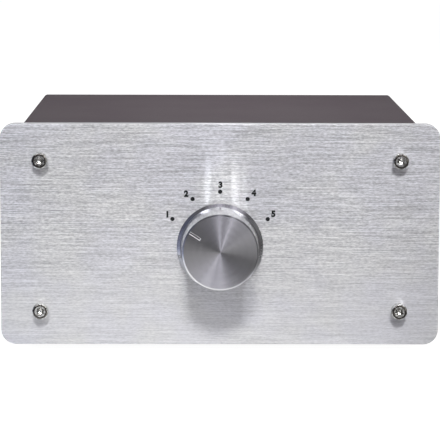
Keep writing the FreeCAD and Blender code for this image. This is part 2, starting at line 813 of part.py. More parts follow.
def make_detent_wheel():
    body = turned("detent_wheel", [
        ("dims.wheel_front", "(dims.shaft_wide + dims.thread_slack) / 2"),
        ("dims.wheel_front + dims.wheel_thick", "(dims.shaft_wide + dims.thread_slack) / 2"),
        ("dims.wheel_front + dims.wheel_thick", "dims.wheel_wide / 2"),
        ("dims.wheel_front", "dims.wheel_wide / 2"),
    ])
    notch = on_plane(body, "notch", "XZ_Plane", "-dims.wheel_front")
    outline(notch, [
        ("0", "dims.notch_floor"),
        ("2 * dims.notch_half", "2 * dims.wheel_wide / 2 - dims.notch_floor"),
        ("-2 * dims.notch_half", "2 * dims.wheel_wide / 2 - dims.notch_floor"),
    ])
    first = pocket(body, notch, "dims.wheel_thick")
    ring = body.newObject("PartDesign::PolarPattern", "notches")
    ring.Originals = [first]
    ring.Axis = (notch, ["N_Axis"])
    ring.Angle = 360
    ring.Occurrences = round(360 / measure("dims.wheel_step"))
    body.Tip = ring
    doc.recompute()
    lug = on_plane(body, "wheel_lug", "XZ_Plane", "-dims.wheel_front")
    sector(lug, "dims.lug_inner", "dims.lug_outer", LUG_AT, "dims.lug_half")
    pad(body, lug, "dims.wheel_front - dims.lug_front")
    return keep(body, "detent_wheel")


def sector(sketch, inner, outer, middle, half):
    """A flat-sided patch between two radii, half an angle each side of its middle."""
    corners = []
    for radius, angle in ((inner, f"{middle} - {half}"), (outer, f"{middle} - {half}"),
                          (outer, f"{middle} + {half}"), (inner, f"{middle} + {half}")):
        corners.append((f"{radius} * sin(({angle}) * 1 deg)", f"{radius} * cos(({angle}) * 1 deg)"))
    outline(sketch, corners)


def make_stop_ring():
    """A flat ring on the frame whose two tabs stop the wheel's lug at each end."""
    body = new_body("stop_ring", "dims.axis_high")
    face = on_plane(body, "stop_face", "XZ_Plane", f"-({FRAME_BACK} + dims.stop_thick)")
    circle(face, "0", "0", "2 * dims.stop_outer")
    circle(face, "0", "0", "2 * dims.stop_inner")
    pad(body, face, "dims.stop_thick")
    tabs = on_plane(body, "stop_tabs", "XZ_Plane", f"-({FRAME_BACK} + dims.stop_thick)")
    for middle in (FIRST_STOP_AT, LAST_STOP_AT):
        sector(tabs, "dims.lug_inner", "dims.lug_outer", middle, "dims.stop_tab_half")
    pad(body, tabs, f"dims.stop_tab_rear - ({FRAME_BACK} + dims.stop_thick)", other_way=True)
    return keep(body, "stop_ring")


def make_detent_spring():
    """A leaf spring between the frame's ears, with a nose bent down into a notch."""
    body = new_body("detent_spring", "dims.axis_high")
    side = on_plane(body, "spring_side", "XZ_Plane",
                    f"-({WHEEL_MIDDLE} + dims.spring_wide / 2)")
    under = [
        ("dims.ear_outer", "dims.ear_low - dims.spring_thick"),
        ("dims.ear_inner", "dims.ear_low - dims.spring_thick"),
        ("2 * dims.spring_nose_half", "dims.spring_low"),
        ("dims.spring_nose_half", "dims.spring_low - dims.spring_thick / 2"),
        ("0", "dims.spring_nose"),
    ]
    mirrored = [(f"-({across})", up) for across, up in reversed(under[:-1])]
    lower = under + mirrored
    upper = [(across, f"{up} + dims.spring_thick") for across, up in reversed(lower)]
    outline(side, lower + upper)
    pad(body, side, "dims.spring_wide")
    holes = on_plane(body, "spring_holes", "XY_Plane", "dims.ear_low - dims.spring_thick")
    for aside in ("-(dims.ear_inner + dims.ear_outer) / 2", "(dims.ear_inner + dims.ear_outer) / 2"):
        circle(holes, aside, WHEEL_MIDDLE, "dims.rivet_wide + dims.thread_slack")
    pocket(body, holes, "dims.spring_thick", other_way=True)
    return keep(body, "detent_spring")


def make_spring_rivets():
    form = doc.addObject("PartDesign::Body", "rivet_form")
    profile = on_plane(form, "rivet_profile", "YZ_Plane")
    grip = "(dims.ear_thick + dims.spring_thick)"
    outline(profile, [
        ("-dims.rivet_head_tall", "0"),
        (f"{grip} + dims.rivet_head_tall", "0"),
        (f"{grip} + dims.rivet_head_tall", "dims.rivet_head / 2"),
        (grip, "dims.rivet_head / 2"),
        (grip, "dims.rivet_wide / 2"),
        ("0", "dims.rivet_wide / 2"),
        ("0", "dims.rivet_head / 2 - dims.thread_slack"),
        ("-dims.rivet_head_tall", "dims.rivet_head / 2 - dims.thread_slack"),
    ])
    turn(form, profile)
    seat = "dims.axis_high + dims.ear_low - dims.spring_thick"
    middle = "(dims.ear_inner + dims.ear_outer) / 2"
    group("detent_spring_rivets", form, [
        (f"-{middle}", WHEEL_MIDDLE, seat, UPWARD),
        (middle, WHEEL_MIDDLE, seat, UPWARD),
    ])


# The two wafer decks. Each holds five input contacts, a common contact and a rotor.

CONTACT_ANGLES = [f"{number} * dims.wheel_step - dims.travel / 2" for number in range(INPUTS)]
CONTACT_ANGLES.append("180")


def make_wafer(side, front):
    body = new_body(f"{side}_wafer", "dims.axis_high")
    board = on_plane(body, f"{side}_wafer_board", "XZ_Plane", f"-({front} + dims.wafer_thick)")
    circle(board, "0", "0", "dims.wafer_wide")
    circle(board, "0", "0", "dims.wafer_hole")
    pad(body, board, "dims.wafer_thick")
    ears = on_plane(body, f"{side}_wafer_ears", "XZ_Plane", f"-({front} + dims.wafer_thick)")
    root = "dims.wafer_hole / 2 + dims.tab_wide"
    rectangle(ears, root, "-dims.wafer_ear_half", "dims.wafer_ear_out", "dims.wafer_ear_half")
    rectangle(ears, "-dims.wafer_ear_out", "-dims.wafer_ear_half", f"-({root})", "dims.wafer_ear_half")
    pad(body, ears, "dims.wafer_thick")
    holes = on_plane(body, f"{side}_wafer_holes", "XZ_Plane", f"-({front})")
    for aside in ("-dims.stud_aside", "dims.stud_aside"):
        circle(holes, aside, "0", "dims.thread_way")
    for angle in CONTACT_ANGLES:
        circle(holes, f"dims.strip_rivet_at * sin(({angle}) * 1 deg)",
               f"dims.strip_rivet_at * cos(({angle}) * 1 deg)", "dims.rivet_wide + dims.thread_slack")
    pocket(body, holes, "dims.wafer_thick")
    keep(body, f"{side}_wafer")


def contact_form(name, jaw_inner, lug_outer):
    """One contact at 12 o'clock: a strip, a raised jaw, a solder lug and its rivet."""
    body = doc.addObject("PartDesign::Body", name)
    jaw_low = "dims.rotor_proud + dims.wiper_thick + dims.jaw_gap"
    side = on_plane(body, f"{name}_side", "YZ_Plane")
    outline(side, [
        ("0", "dims.strip_inner"),
        ("0", lug_outer),
        ("dims.strip_thick", lug_outer),
        ("dims.strip_thick", "dims.jaw_outer"),
        (f"{jaw_low} + dims.wiper_thick", "dims.jaw_outer"),
        (f"{jaw_low} + dims.wiper_thick", jaw_inner),
        (jaw_low, jaw_inner),
        (jaw_low, "dims.strip_inner"),
    ])
    pad(body, side, "dims.strip_wide", middle=True)
    eye = on_plane(body, f"{name}_eye", "XZ_Plane")
    circle(eye, "0", f"{lug_outer} - dims.lug_eye_in", "dims.lug_eye")
    pocket(body, eye, "dims.strip_thick")
    shank = on_plane(body, f"{name}_shank", "XZ_Plane")
    circle(shank, "0", "dims.strip_rivet_at", "dims.rivet_wide")
    pad(body, shank, "dims.wafer_thick")
    head = on_plane(body, f"{name}_head", "XZ_Plane", "dims.wafer_thick")
    circle(head, "0", "dims.strip_rivet_at", "dims.rivet_head")
    pad(body, head, "dims.rivet_head_tall")
    return body


def make_contacts(side, front, lug_outer):
    form = contact_form(f"{side}_contact_form", "dims.jaw_inner", lug_outer)
    common = contact_form(f"{side}_common_form", "dims.common_inner", lug_outer)
    rear = f"{front} + dims.wafer_thick"
    links = []
    for number, angle in enumerate(CONTACT_ANGLES, start=1):
        link = doc.addObject("App::Link", f"{side}_contact_{number}")
        link.LinkedObject = common if number > INPUTS else form
        link.LinkTransform = False
        link.Placement = Placement(Vector(), about_y(angle))
        place(link, "0", rear, "dims.axis_high")
        links.append(link)
    compound = doc.addObject("Part::Compound", f"{side}_deck_contacts")
    compound.Links = links
    keep(compound, f"{side}_deck_contacts")


def make_rotor(side, front):
    """The turning disc in the wafer's hole, driven by the shaft's blade."""
    body = new_body(f"{side}_rotor", "dims.axis_high", about_y(POINTER_TURN))
    rear = f"{front} + dims.wafer_thick + dims.rotor_proud"
    disc = on_plane(body, f"{side}_rotor_disc", "XZ_Plane", f"-({rear})")
    circle(disc, "0", "0", "dims.rotor_wide")
    rectangle(disc, "-dims.blade_thick / 2 - dims.blade_way", "-dims.blade_wide / 2 - dims.blade_way",
              "dims.blade_thick / 2 + dims.blade_way", "dims.blade_wide / 2 + dims.blade_way")
    pad(body, disc, "dims.wafer_thick + 2 * dims.rotor_proud")
    keep(body, f"{side}_rotor")


def make_wiper(side, front):
    """The metal ring on the rotor whose tongue meets one input contact at a time."""
    body = new_body(f"{side}_wiper", "dims.axis_high", about_y("-dims.travel / 2"))
    rear = f"{front} + dims.wafer_thick + dims.rotor_proud + dims.wiper_thick"
    ring = on_plane(body, f"{side}_wiper_ring", "XZ_Plane", f"-({rear})")
    circle(ring, "0", "0", "2 * dims.wiper_ring")
    circle(ring, "0", "0", "2 * dims.wiper_inner")
    pad(body, ring, "dims.wiper_thick")
    tongue = on_plane(body, f"{side}_wiper_tongue", "XZ_Plane", f"-({rear})")
    rectangle(tongue, "-dims.wiper_wide / 2", "dims.wiper_inner + dims.wiper_thick",
              "dims.wiper_wide / 2", "dims.wiper_reach")
    pad(body, tongue, "dims.wiper_thick")
    keep(body, f"{side}_wiper")


def make_studs(nut):
    """Two studs from the frame, with a spacer before each wafer and a nut behind the last."""
    stud = doc.addObject("PartDesign::Body", "stud_form")
    face = on_plane(stud, "stud_face", "XZ_Plane")
    circle(face, "0", "0", "dims.screw_wide")
    pad(stud, face, f"dims.stud_end - ({WALL_BACK})", other_way=True)
    asides = ("-dims.stud_aside", "dims.stud_aside")
    group("switch_studs", stud, [(x, WALL_BACK, "dims.axis_high", LEVEL) for x in asides])
    group("switch_stud_nuts", nut,
          [(x, "dims.right_deck + dims.wafer_thick", "dims.axis_high", LEVEL) for x in asides])

    gaps = {
        "front_spacer_form": (FRAME_BACK, "dims.left_deck"),
        "rear_spacer_form": ("dims.left_deck + dims.wafer_thick", "dims.right_deck"),
    }
    links = []
    for name, (start, end) in gaps.items():
        form = doc.addObject("PartDesign::Body", name)
        ring = on_plane(form, f"{name}_ring", "XZ_Plane")
        circle(ring, "0", "0", "dims.spacer_wide")
        circle(ring, "0", "0", "dims.thread_way")
        pad(form, ring, f"{end} - ({start})", other_way=True)
        for x in asides:
            link = doc.addObject("App::Link", f"{name}_link")
            link.LinkedObject = form
            link.LinkTransform = False
            place(link, x, start, "dims.axis_high")
            links.append(link)
    compound = doc.addObject("Part::Compound", "switch_spacers")
    compound.Links = links
    keep(compound, "switch_spacers")


# The phono sockets: twelve alike, in an upper row for the left and a lower for the right.

def column_at(column):
    """The x of a column of sockets: the inputs from the left, then the output."""
    return f"({column} - {(COLUMNS - 1) / 2}) * dims.socket_pitch"


def row_spots(high, rotation=LEVEL):
    return [(column_at(column), PANEL, high, rotation) for column in range(COLUMNS)]


def both_rows():
    return row_spots("dims.left_row") + row_spots("dims.right_row")


def socket_piece(name, points):
    """A turned socket piece along its own Y axis, with the panel's outer face at 0."""
    body = doc.addObject("PartDesign::Body", name)
    profile = on_plane(body, f"{name}_profile", "YZ_Plane")
    outline(profile, points)
    turn(body, profile)
    return body


def make_socket_shells():
    flange_end = "dims.washer_thick + dims.shell_flange_thick"
    form = socket_piece("shell_form", [
        ("-dims.shell_thread_end", "dims.shell_bore / 2"),
        ("dims.socket_reach", "dims.shell_bore / 2"),
        ("dims.socket_reach", "dims.shell_barrel / 2 - dims.shell_edge"),
        ("dims.socket_reach - dims.shell_edge", "dims.shell_barrel / 2"),
        (flange_end, "dims.shell_barrel / 2"),
        (flange_end, "dims.shell_flange / 2"),
        ("dims.washer_thick", "dims.shell_flange / 2"),
        ("dims.washer_thick", "dims.shell_thread / 2"),
        ("-dims.shell_thread_end", "dims.shell_thread / 2"),
    ])
    group("socket_shells", form, both_rows())


def make_socket_washers():
    """Coloured shoulder washers that keep the shells off the panel's hole."""
    for side in ("left", "right"):
        form = socket_piece(f"{side}_washer_form", [
            ("-dims.tray_thick", "dims.washer_bore / 2"),
            ("dims.washer_thick", "dims.washer_bore / 2"),
            ("dims.washer_thick", "dims.washer_wide / 2"),
            ("0", "dims.washer_wide / 2"),
            ("0", "dims.washer_spigot / 2"),
            ("-dims.tray_thick", "dims.washer_spigot / 2"),
        ])
        group(f"{side}_socket_washers", form, row_spots(f"dims.{side}_row"))


def make_socket_cores():
    """The coloured insulating cores, each with a flared lead-in that keeps its contact in."""
    tube_hole = "dims.contact_wide / 2 + dims.contact_slack / 2"
    tail_hole = "dims.tail_wide / 2 + dims.contact_slack / 2"
    front = "dims.socket_reach - dims.core_sunk"
    for side in ("left", "right"):
        form = socket_piece(f"{side}_core_form", [
            ("-dims.core_end", tail_hole),
            ("-dims.contact_slack", tail_hole),
            ("-dims.contact_slack", tube_hole),
            ("dims.contact_mouth", tube_hole),
            ("dims.contact_mouth", "dims.core_lip / 2"),
            (front, "dims.core_lead / 2"),
            (front, "dims.core_wide / 2"),
            ("-dims.core_end", "dims.core_wide / 2"),
        ])
        group(f"{side}_socket_cores", form, row_spots(f"dims.{side}_row"))


def make_centre_contacts():
    """The contact tubes that take a plug's pin, each with a tail and a solder cup."""
    form = socket_piece("contact_form", [
        ("-dims.cup_end", "dims.cup_bore / 2"),
        ("-dims.cup_start", "dims.cup_bore / 2"),
        ("-dims.cup_start", "0"),
        ("dims.contact_floor", "0"),
        ("dims.contact_floor", "dims.pin_way / 2"),
        ("dims.contact_mouth", "dims.pin_way / 2"),
        ("dims.contact_mouth", "dims.contact_wide / 2"),
        ("0", "dims.contact_wide / 2"),
        ("0", "dims.tail_wide / 2"),
        ("-dims.core_end - dims.tag_thick", "dims.tail_wide / 2"),
        ("-dims.core_end - dims.tag_thick", "dims.cup_wide / 2"),
        ("-dims.cup_end", "dims.cup_wide / 2"),
    ])
    group("socket_centre_contacts", form, both_rows())


def make_socket_fixings():
    """Behind the panel: a fibre washer, a ground tag and a nut on each shell."""
    panel_back = "dims.tray_thick"
    washer_back = f"{panel_back} + dims.rear_washer_thick"
    tag_back = f"{washer_back} + dims.tag_thick"
    washer = socket_piece("rear_washer_form", [
        (f"-({washer_back})", "dims.washer_bore / 2"),
        (f"-({panel_back})", "dims.washer_bore / 2"),
        (f"-({panel_back})", "dims.washer_wide / 2"),
        (f"-({washer_back})", "dims.washer_wide / 2"),
    ])
    group("socket_rear_washers", washer, both_rows())

    tag = doc.addObject("PartDesign::Body", "tag_form")
    ring = on_plane(tag, "tag_ring", "XZ_Plane", washer_back)
    circle(ring, "0", "0", "dims.washer_wide")
    pad(tag, ring, "dims.tag_thick")
    tail = on_plane(tag, "tag_tail", "XZ_Plane", washer_back)
    rectangle(tail, "-dims.tag_wide / 2", "0", "dims.tag_wide / 2", "dims.tag_reach")
    pad(tag, tail, "dims.tag_thick")
    holes = on_plane(tag, "tag_holes", "XZ_Plane", tag_back)
    circle(holes, "0", "0", "dims.washer_bore")
    circle(holes, "0", "dims.tag_eye_at", "dims.tag_eye")
    pocket(tag, holes, "dims.tag_thick")
    group("socket_ground_tags", tag,
          row_spots("dims.left_row") + row_spots("dims.right_row", about_y(180)))

    nut = nut_form("socket_nut_form", "dims.socket_nut_flats", "dims.socket_nut_thick",
                   "dims.shell_thread + dims.thread_slack")
    nut_front = f"{PANEL} - ({tag_back}) - dims.socket_nut_thick"
    spots = [(x, nut_front, z, rotation) for x, _, z, rotation in both_rows()]
    group("socket_nuts", nut, spots)


# The wires, from each deck's lugs to the centre contacts, and the bare ground wire.

def rounded_route(points, largest=None):
    """Straight runs between the points, joined by tangent arcs, as one wire."""
    edges = []
    start = points[0]
    for before, corner, after in zip(points, points[1:], points[2:]):
        come = corner - before
        leave = after - corner
        half_turn = come.getAngle(leave) / 2
        trim = 0.45 * min(come.Length, leave.Length)
        if largest is not None:
            trim = min(trim, largest * math.tan(half_turn))
        radius = trim / math.tan(half_turn)
        come.normalize()
        leave.normalize()
        arc_start = corner - come * trim
        arc_end = corner + leave * trim
        middle = corner + (leave - come).normalize() * (radius / math.cos(half_turn) - radius)
        edges.append(Part.makeLine(start, arc_start))
        edges.append(Part.Arc(arc_start, middle, arc_end).toShape())
        start = arc_end
    edges.append(Part.makeLine(start, points[-1]))
    return Part.Wire(edges)


def wire_solid(points, wide, largest=None):
    """A round wire along a rounded route, with its volume compared with its length."""
    route = rounded_route(points, largest)
    heading = points[1] - points[0]
    section = Part.Wire(Part.makeCircle(wide / 2, points[0], heading))
    solid = route.makePipeShell([section], True, True)
    expected = math.pi * wide ** 2 / 4 * route.Length
    if abs(solid.Volume / expected - 1) > 0.01:
        raise ValueError(f"a wire's volume is {solid.Volume:.1f}, not {expected:.1f}")
    return solid


def shape_node(label, solids):
    """A sub-part whose shape is a group of solids already in their places."""
    feature = doc.addObject("Part::Feature", label)
    feature.Shape = Part.makeCompound(solids) if len(solids) > 1 else solids[0]
    feature.Placement = Placement(Vector(0, -measure("dims.plate_front"), 0), Rotation())
    return keep(feature, label)


def lug_spot(angle, lug_outer, depth):
    """The eyelet of the contact at this angle, at a depth behind the plate's front."""
    radius = measure(f"{lug_outer} - dims.lug_eye_in")
    turn_by = math.radians(measure(angle))
    high = measure("dims.axis_high")
    return Vector(radius * math.sin(turn_by), depth, high + radius * math.cos(turn_by))


def make_wires(side, front, lug_outer):
    wide = measure("dims.wire_wide")
    butt = measure("dims.wire_butt")
    start = measure(f"{front} + dims.wafer_thick + dims.strip_thick") + butt
    end = measure(f"{PANEL} - dims.cup_end") - butt
    back = measure(f"dims.{side}_wire_back")
    home = measure(f"dims.{side}_wire_home")
    high = measure(f"dims.{side}_row")
    solids = []
    for column, angle in enumerate(CONTACT_ANGLES):
        x = measure(column_at(column))
        lug = lug_spot(angle, lug_outer, start)
        points = [
            lug,
            Vector(lug.x, back, lug.z),
            Vector(x, home, high),
            Vector(x, end, high),
        ]
        solids.append(wire_solid(points, wide))
    shape_node(f"{side}_wires", solids)


def make_ground_wire():
    """A bare wire across all the ground tags of both rows, turned once at the side."""
    wide = measure("dims.bus_wide")
    lift = measure("dims.tray_thick + dims.rear_washer_thick + dims.tag_thick")
    depth = measure(PANEL) - lift - wide / 2 - measure("dims.wire_butt")
    upper = measure("dims.left_row + dims.tag_eye_at")
    lower = measure("dims.right_row - dims.tag_eye_at")
    end = -measure("dims.bus_aside")
    side = measure("dims.bus_turn")
    points = [
        Vector(end, depth, upper),
        Vector(side, depth, upper),
        Vector(side, depth, lower),
        Vector(end, depth, lower),
    ]
    shape_node("ground_wire", [wire_solid(points, wide, measure("dims.bus_bend"))])


# Build every piece, check them all, and write them out.

make_front_plate()
make_chassis_tray()
make_top_cover()
small_nut = make_fasteners()
make_feet()
make_knob()
make_knob_set_screw()
make_bushing()
make_switch_frame()
make_front_nut()
make_shaft()
make_shaft_clip()
make_detent_wheel()
make_stop_ring()
make_detent_spring()
make_spring_rivets()
for deck_side, deck_front, deck_lug in (
    ("left", "dims.left_deck", "dims.left_lug"),
    ("right", "dims.right_deck", "dims.right_lug"),
):
    make_wafer(deck_side, deck_front)
    make_contacts(deck_side, deck_front, deck_lug)
    make_rotor(deck_side, deck_front)
    make_wiper(deck_side, deck_front)
    make_wires(deck_side, deck_front, deck_lug)
make_studs(small_nut)
make_socket_shells()
make_socket_washers()
make_socket_cores()
make_centre_contacts()
make_socket_fixings()
make_ground_wire()
doc.recompute()

for thing in doc.Objects:
    if "Invalid" in thing.State or "Error" in thing.State:
        raise ValueError(f"{thing.Label} failed: {thing.State}")
for node in nodes:
    if node.Shape.isNull() or not node.Shape.isValid() or not node.Shape.Solids:
        raise ValueError(f"{node.Label} has no valid solid")

os.makedirs("parts", exist_ok=True)
whole = FreeCAD.BoundBox()
for node in nodes:
    whole.add(node.Shape.BoundBox)
    node.Shape.exportStep(f"parts/{node.Label}.step")
    print(f"{node.Label}: {len(node.Shape.Solids)} solid(s), {node.Shape.Volume:.1f} mm3")
print(f"{len(nodes)} nodes, {whole.XLength:.2f} x {whole.YLength:.2f} x {whole.ZLength:.2f} mm")
print(f"y from {whole.YMin:.2f} to {whole.YMax:.2f}, z from {whole.ZMin:.2f}")
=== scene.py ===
# %% [markdown]
# # A source selector for a desk
# The object is a passive switch box: a painted steel case behind a thick brushed aluminium plate, one
# turned knob, four socket cap screws, and two rows of phono sockets at the back.
# Its shapes come measured and jointed from a CAD model, which is loaded as a fixed frame. What is
# left for Blender is all that the eye reads as material: brushing, turning marks, paint, plating, print.

import math

import bmesh
import bpy
from mathutils import Matrix, Vector


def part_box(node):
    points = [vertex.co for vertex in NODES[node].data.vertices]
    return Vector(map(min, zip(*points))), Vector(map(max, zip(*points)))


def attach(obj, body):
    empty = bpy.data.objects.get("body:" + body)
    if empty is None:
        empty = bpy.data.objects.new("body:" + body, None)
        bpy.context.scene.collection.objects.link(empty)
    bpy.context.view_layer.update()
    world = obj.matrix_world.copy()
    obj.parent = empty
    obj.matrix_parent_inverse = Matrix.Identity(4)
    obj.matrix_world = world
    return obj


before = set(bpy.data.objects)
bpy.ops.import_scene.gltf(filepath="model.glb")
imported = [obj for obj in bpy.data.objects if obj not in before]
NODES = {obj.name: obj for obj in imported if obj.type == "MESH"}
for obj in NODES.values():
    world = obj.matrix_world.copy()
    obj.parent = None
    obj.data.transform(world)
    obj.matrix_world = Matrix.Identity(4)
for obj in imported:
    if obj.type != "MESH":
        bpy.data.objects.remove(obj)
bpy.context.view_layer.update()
MM = 0.001

PLATE_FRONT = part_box("front_plate")[0].y
KNOB_LOW, KNOB_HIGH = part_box("control_knob")
REAR_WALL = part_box("chassis_tray")[1].y
AXIS_HIGH = (KNOB_LOW.z + KNOB_HIGH.z) / 2
print(len(NODES), "CAD pieces, plate's face at Y", round(PLATE_FRONT / MM, 2), "mm, knob's axis",
      round(AXIS_HIGH / MM, 2), "mm above the table")

# %% [markdown]
# ## Where the photographer stood
# A catalogue picture of a small box is taken from far off with a long lens, so that its edges stay
# nearly parallel. The edges of the case's top would meet far above the picture, which fixes the
# direction, and the rate at which they close in fixes the distance: 0.84 m from the plate, looking
# 7 degrees down. The lens is worked out from pixels, for a picture as wide as it is tall.

# %% Camera
PICTURE_SIDE = 440
FOCAL_PIXELS = 2480
SENSOR_WIDE = 36
NEAREST, FARTHEST = 0.05, 50
CAMERA_AT = Vector((-7.46, -905, 153.9)) * MM
CAMERA_YAW, CAMERA_PITCH, CAMERA_ROLL = 0.507, 7.344, 0.165

camera = bpy.data.objects.new("camera", bpy.data.cameras.new("camera"))
bpy.context.scene.collection.objects.link(camera)
camera.data.sensor_width = SENSOR_WIDE
camera.data.lens = FOCAL_PIXELS / PICTURE_SIDE * SENSOR_WIDE
camera.data.clip_start, camera.data.clip_end = NEAREST, FARTHEST
camera.matrix_world = (
    Matrix.Translation(CAMERA_AT)
    @ Matrix.Rotation(math.radians(-CAMERA_YAW), 4, "Z")
    @ Matrix.Rotation(math.radians(90 - CAMERA_PITCH), 4, "X")
    @ Matrix.Rotation(math.radians(CAMERA_ROLL), 4, "Z")
)
bpy.context.scene.camera = camera
bpy.context.scene.view_settings.view_transform = "Standard"
print("lens", round(camera.data.lens, 1), "mm")

# %% [markdown]
# ## Shader sums written as Python
# A pattern such as brushing is a sum: stretched noise, times an amount, plus a base. In the node
# editor each term is a box and a wire. An output socket wrapped in a small class, with Python's
# operators, lets the sum be written as a sum, and the boxes are made as it is worked out.

# %% A signal that can be added and multiplied
class Signal:
    """An output socket of a finish, with arithmetic that adds Math nodes."""

    def __init__(self, finish, socket):
        self.finish = finish
        self.socket = socket

    def __add__(self, other):
        return self.finish.math("ADD", self, other)

    __radd__ = __add__

    def __sub__(self, other):
        return self.finish.math("SUBTRACT", self, other)

    def __rsub__(self, other):
        return self.finish.math("SUBTRACT", other, self)

    def __mul__(self, other):
        return self.finish.math("MULTIPLY", self, other)

    __rmul__ = __mul__

    def __truediv__(self, other):
        return self.finish.math("DIVIDE", self, other)

    def size(self):
        return self.finish.math("ABSOLUTE", self)

    def most(self, other):
        return self.finish.math("MAXIMUM", self, other)

    def held(self):
        """Held between 0 and 1."""
        return self.finish.math("ADD", self, clamp=True)

    def rises(self, low, high):
        """Goes smoothly from 0 at low to 1 at high."""
        return self.finish.node("ShaderNodeMapRange", {"interpolation_type": "SMOOTHSTEP"},
                                {"Value": self, "From Min": low, "From Max": high})


# %% A finish, which is a node tree being made
class Finish:
    """The nodes of a material or a world, and one way to add to them."""

    def __init__(self, owner):
        owner.use_nodes = True
        self.owner = owner
        self.tree = owner.node_tree
        self.tree.nodes.clear()

    def node(self, kind, settings=None, sockets=None, output=0):
        made = self.tree.nodes.new(kind)
        for name, value in (settings or {}).items():
            if name == "stops":
                self.set_stops(made.color_ramp, value)
            else:
                setattr(made, name, value)
        for name, value in (sockets or {}).items():
            if isinstance(value, Signal):
                self.tree.links.new(value.socket, made.inputs[name])
            else:
                made.inputs[name].default_value = value
        return Signal(self, made.outputs[output]) if made.outputs else made

    def set_stops(self, ramp, stops):
        """Fills a ramp with levels, from (position, level) pairs."""
        while len(ramp.elements) < len(stops):
            ramp.elements.new(1)
        for element, (position, level) in zip(ramp.elements, stops):
            element.position = position
            element.color = (level, level, level, 1)

    def place(self, output="Object"):
        """Where a point is, in metres. "Normal" gives the way it faces, "Generated" a world's direction."""
        return self.node("ShaderNodeTexCoord", output=output)

    def ray(self, *kinds):
        """1 for a ray of one of these kinds, else 0."""
        return sum(self.node("ShaderNodeLightPath", output=f"Is {kind} Ray") for kind in kinds).held()

    def math(self, operation, first, second=0, clamp=False):
        return self.node("ShaderNodeMath", {"operation": operation, "use_clamp": clamp},
                         {0: first, 1: second})

    def vector(self, operation, first, second=(0, 0, 0), output=0):
        sockets = {0: first, 1: second}
        return self.node("ShaderNodeVectorMath", {"operation": operation}, sockets, output)

    def scaled(self, vector, amount):
        sockets = {0: vector, "Scale": amount}
        return self.node("ShaderNodeVectorMath", {"operation": "SCALE"}, sockets)

    def along(self, axis, vector=None):
        """One coordinate of a vector, or of the place."""
        parted = {0: vector or self.place()}
        return self.node("ShaderNodeSeparateXYZ", None, parted, "XYZ".index(axis))

    def grain(self, across, down, deep, detail=2.0, rough=0.5):
        """Noise with cells of a size along X, Y and Z, in millimetres."""
        stretch = tuple(1 / (size * MM) for size in (across, down, deep))
        spot = self.vector("MULTIPLY", self.place(), stretch)
        return self.node("ShaderNodeTexNoise", None,
                         {"Vector": spot, "Scale": 1, "Detail": detail, "Roughness": rough})

    def lines(self, travel, pitch):
        """Noise in one direction: fine lines a pitch apart, in millimetres."""
        return self.node("ShaderNodeTexNoise", {"noise_dimensions": "1D"},
                         {"W": travel / (pitch * MM), "Scale": 1, "Detail": 1})

    def blend(self, amount, low, high):
        """A colour between two, as the amount goes from 0 to 1."""
        return self.node("ShaderNodeMix", {"data_type": "RGBA"}, {0: amount, 6: low, 7: high}, 2)

    def bump(self, height, depth):
        """The way the surface faces once a height from 0 to 1 stands for a depth in millimetres."""
        return self.node("ShaderNodeBump", None, {"Height": height, "Distance": depth * MM})

    def end(self, surface, kind="ShaderNodeOutputMaterial"):
        self.node(kind, None, {"Surface": surface})
        return self.owner

    def in_world(self, facing):
        """A way of facing, turned from the piece's own space into the world's, as shaders expect."""
        return self.node("ShaderNodeVectorTransform",
                         {"vector_type": "NORMAL", "convert_from": "OBJECT", "convert_to": "WORLD"},
                         {0: facing})

    def shade(self, **sockets):
        """Ends a material in one Principled shader, whose sockets are named with underlines."""
        named = {name.replace("_", " "): value for name, value in sockets.items()}
        return self.end(self.node("ShaderNodeBsdfPrincipled", None, named))


# %% Colours and slots
def colour(red, green, blue):
    """A colour as on screen, 0 to 255, turned into the linear values that shaders take."""
    def linear(value):
        value /= 255
        return value / 12.92 if value <= 0.04045 else ((value + 0.055) / 1.055) ** 2.4

    return (linear(red), linear(green), linear(blue), 1)


def finish(name):
    """A new material that has no nodes yet."""
    return Finish(bpy.data.materials.new(name))


CLOUD_EDGE = (0.35, 0.65)  # the levels of a noise between which its clouds turn from dull to bright
finished = set()


def cover(slot_name, material):
    """Gives a finish to every CAD piece whose material slot has this name."""
    covered = [name for name, node in NODES.items() if node.material_slots[0].name == slot_name]
    for name in covered:
        NODES[name].material_slots[0].material = material
    finished.update(covered)
    print(material.name, "on", ", ".join(covered))


# %% [markdown]
# ## The studio
# The box stands on a white table before a white sweep. The white is the stage's own colour for the
# camera and for shiny surfaces, so that no lamp has to bleach the stage and the object with it.
# Towards the camera there is a room, and turned metal shows it: each fan on the knob's face is one
# direction round the line to the camera, and is as pale as the things that stand there. A list of
# levels by clock angle, from the left through the floor, the right and the ceiling, is that room.
# Round its edges, where only the knob's skirt and bevels look, the room gets darker, apart from the
# far left. The ceiling right overhead is pale: it lights the skirt's bevel along the top. Floor and
# ceiling are a little bluer than the walls, and the far left is bluest.

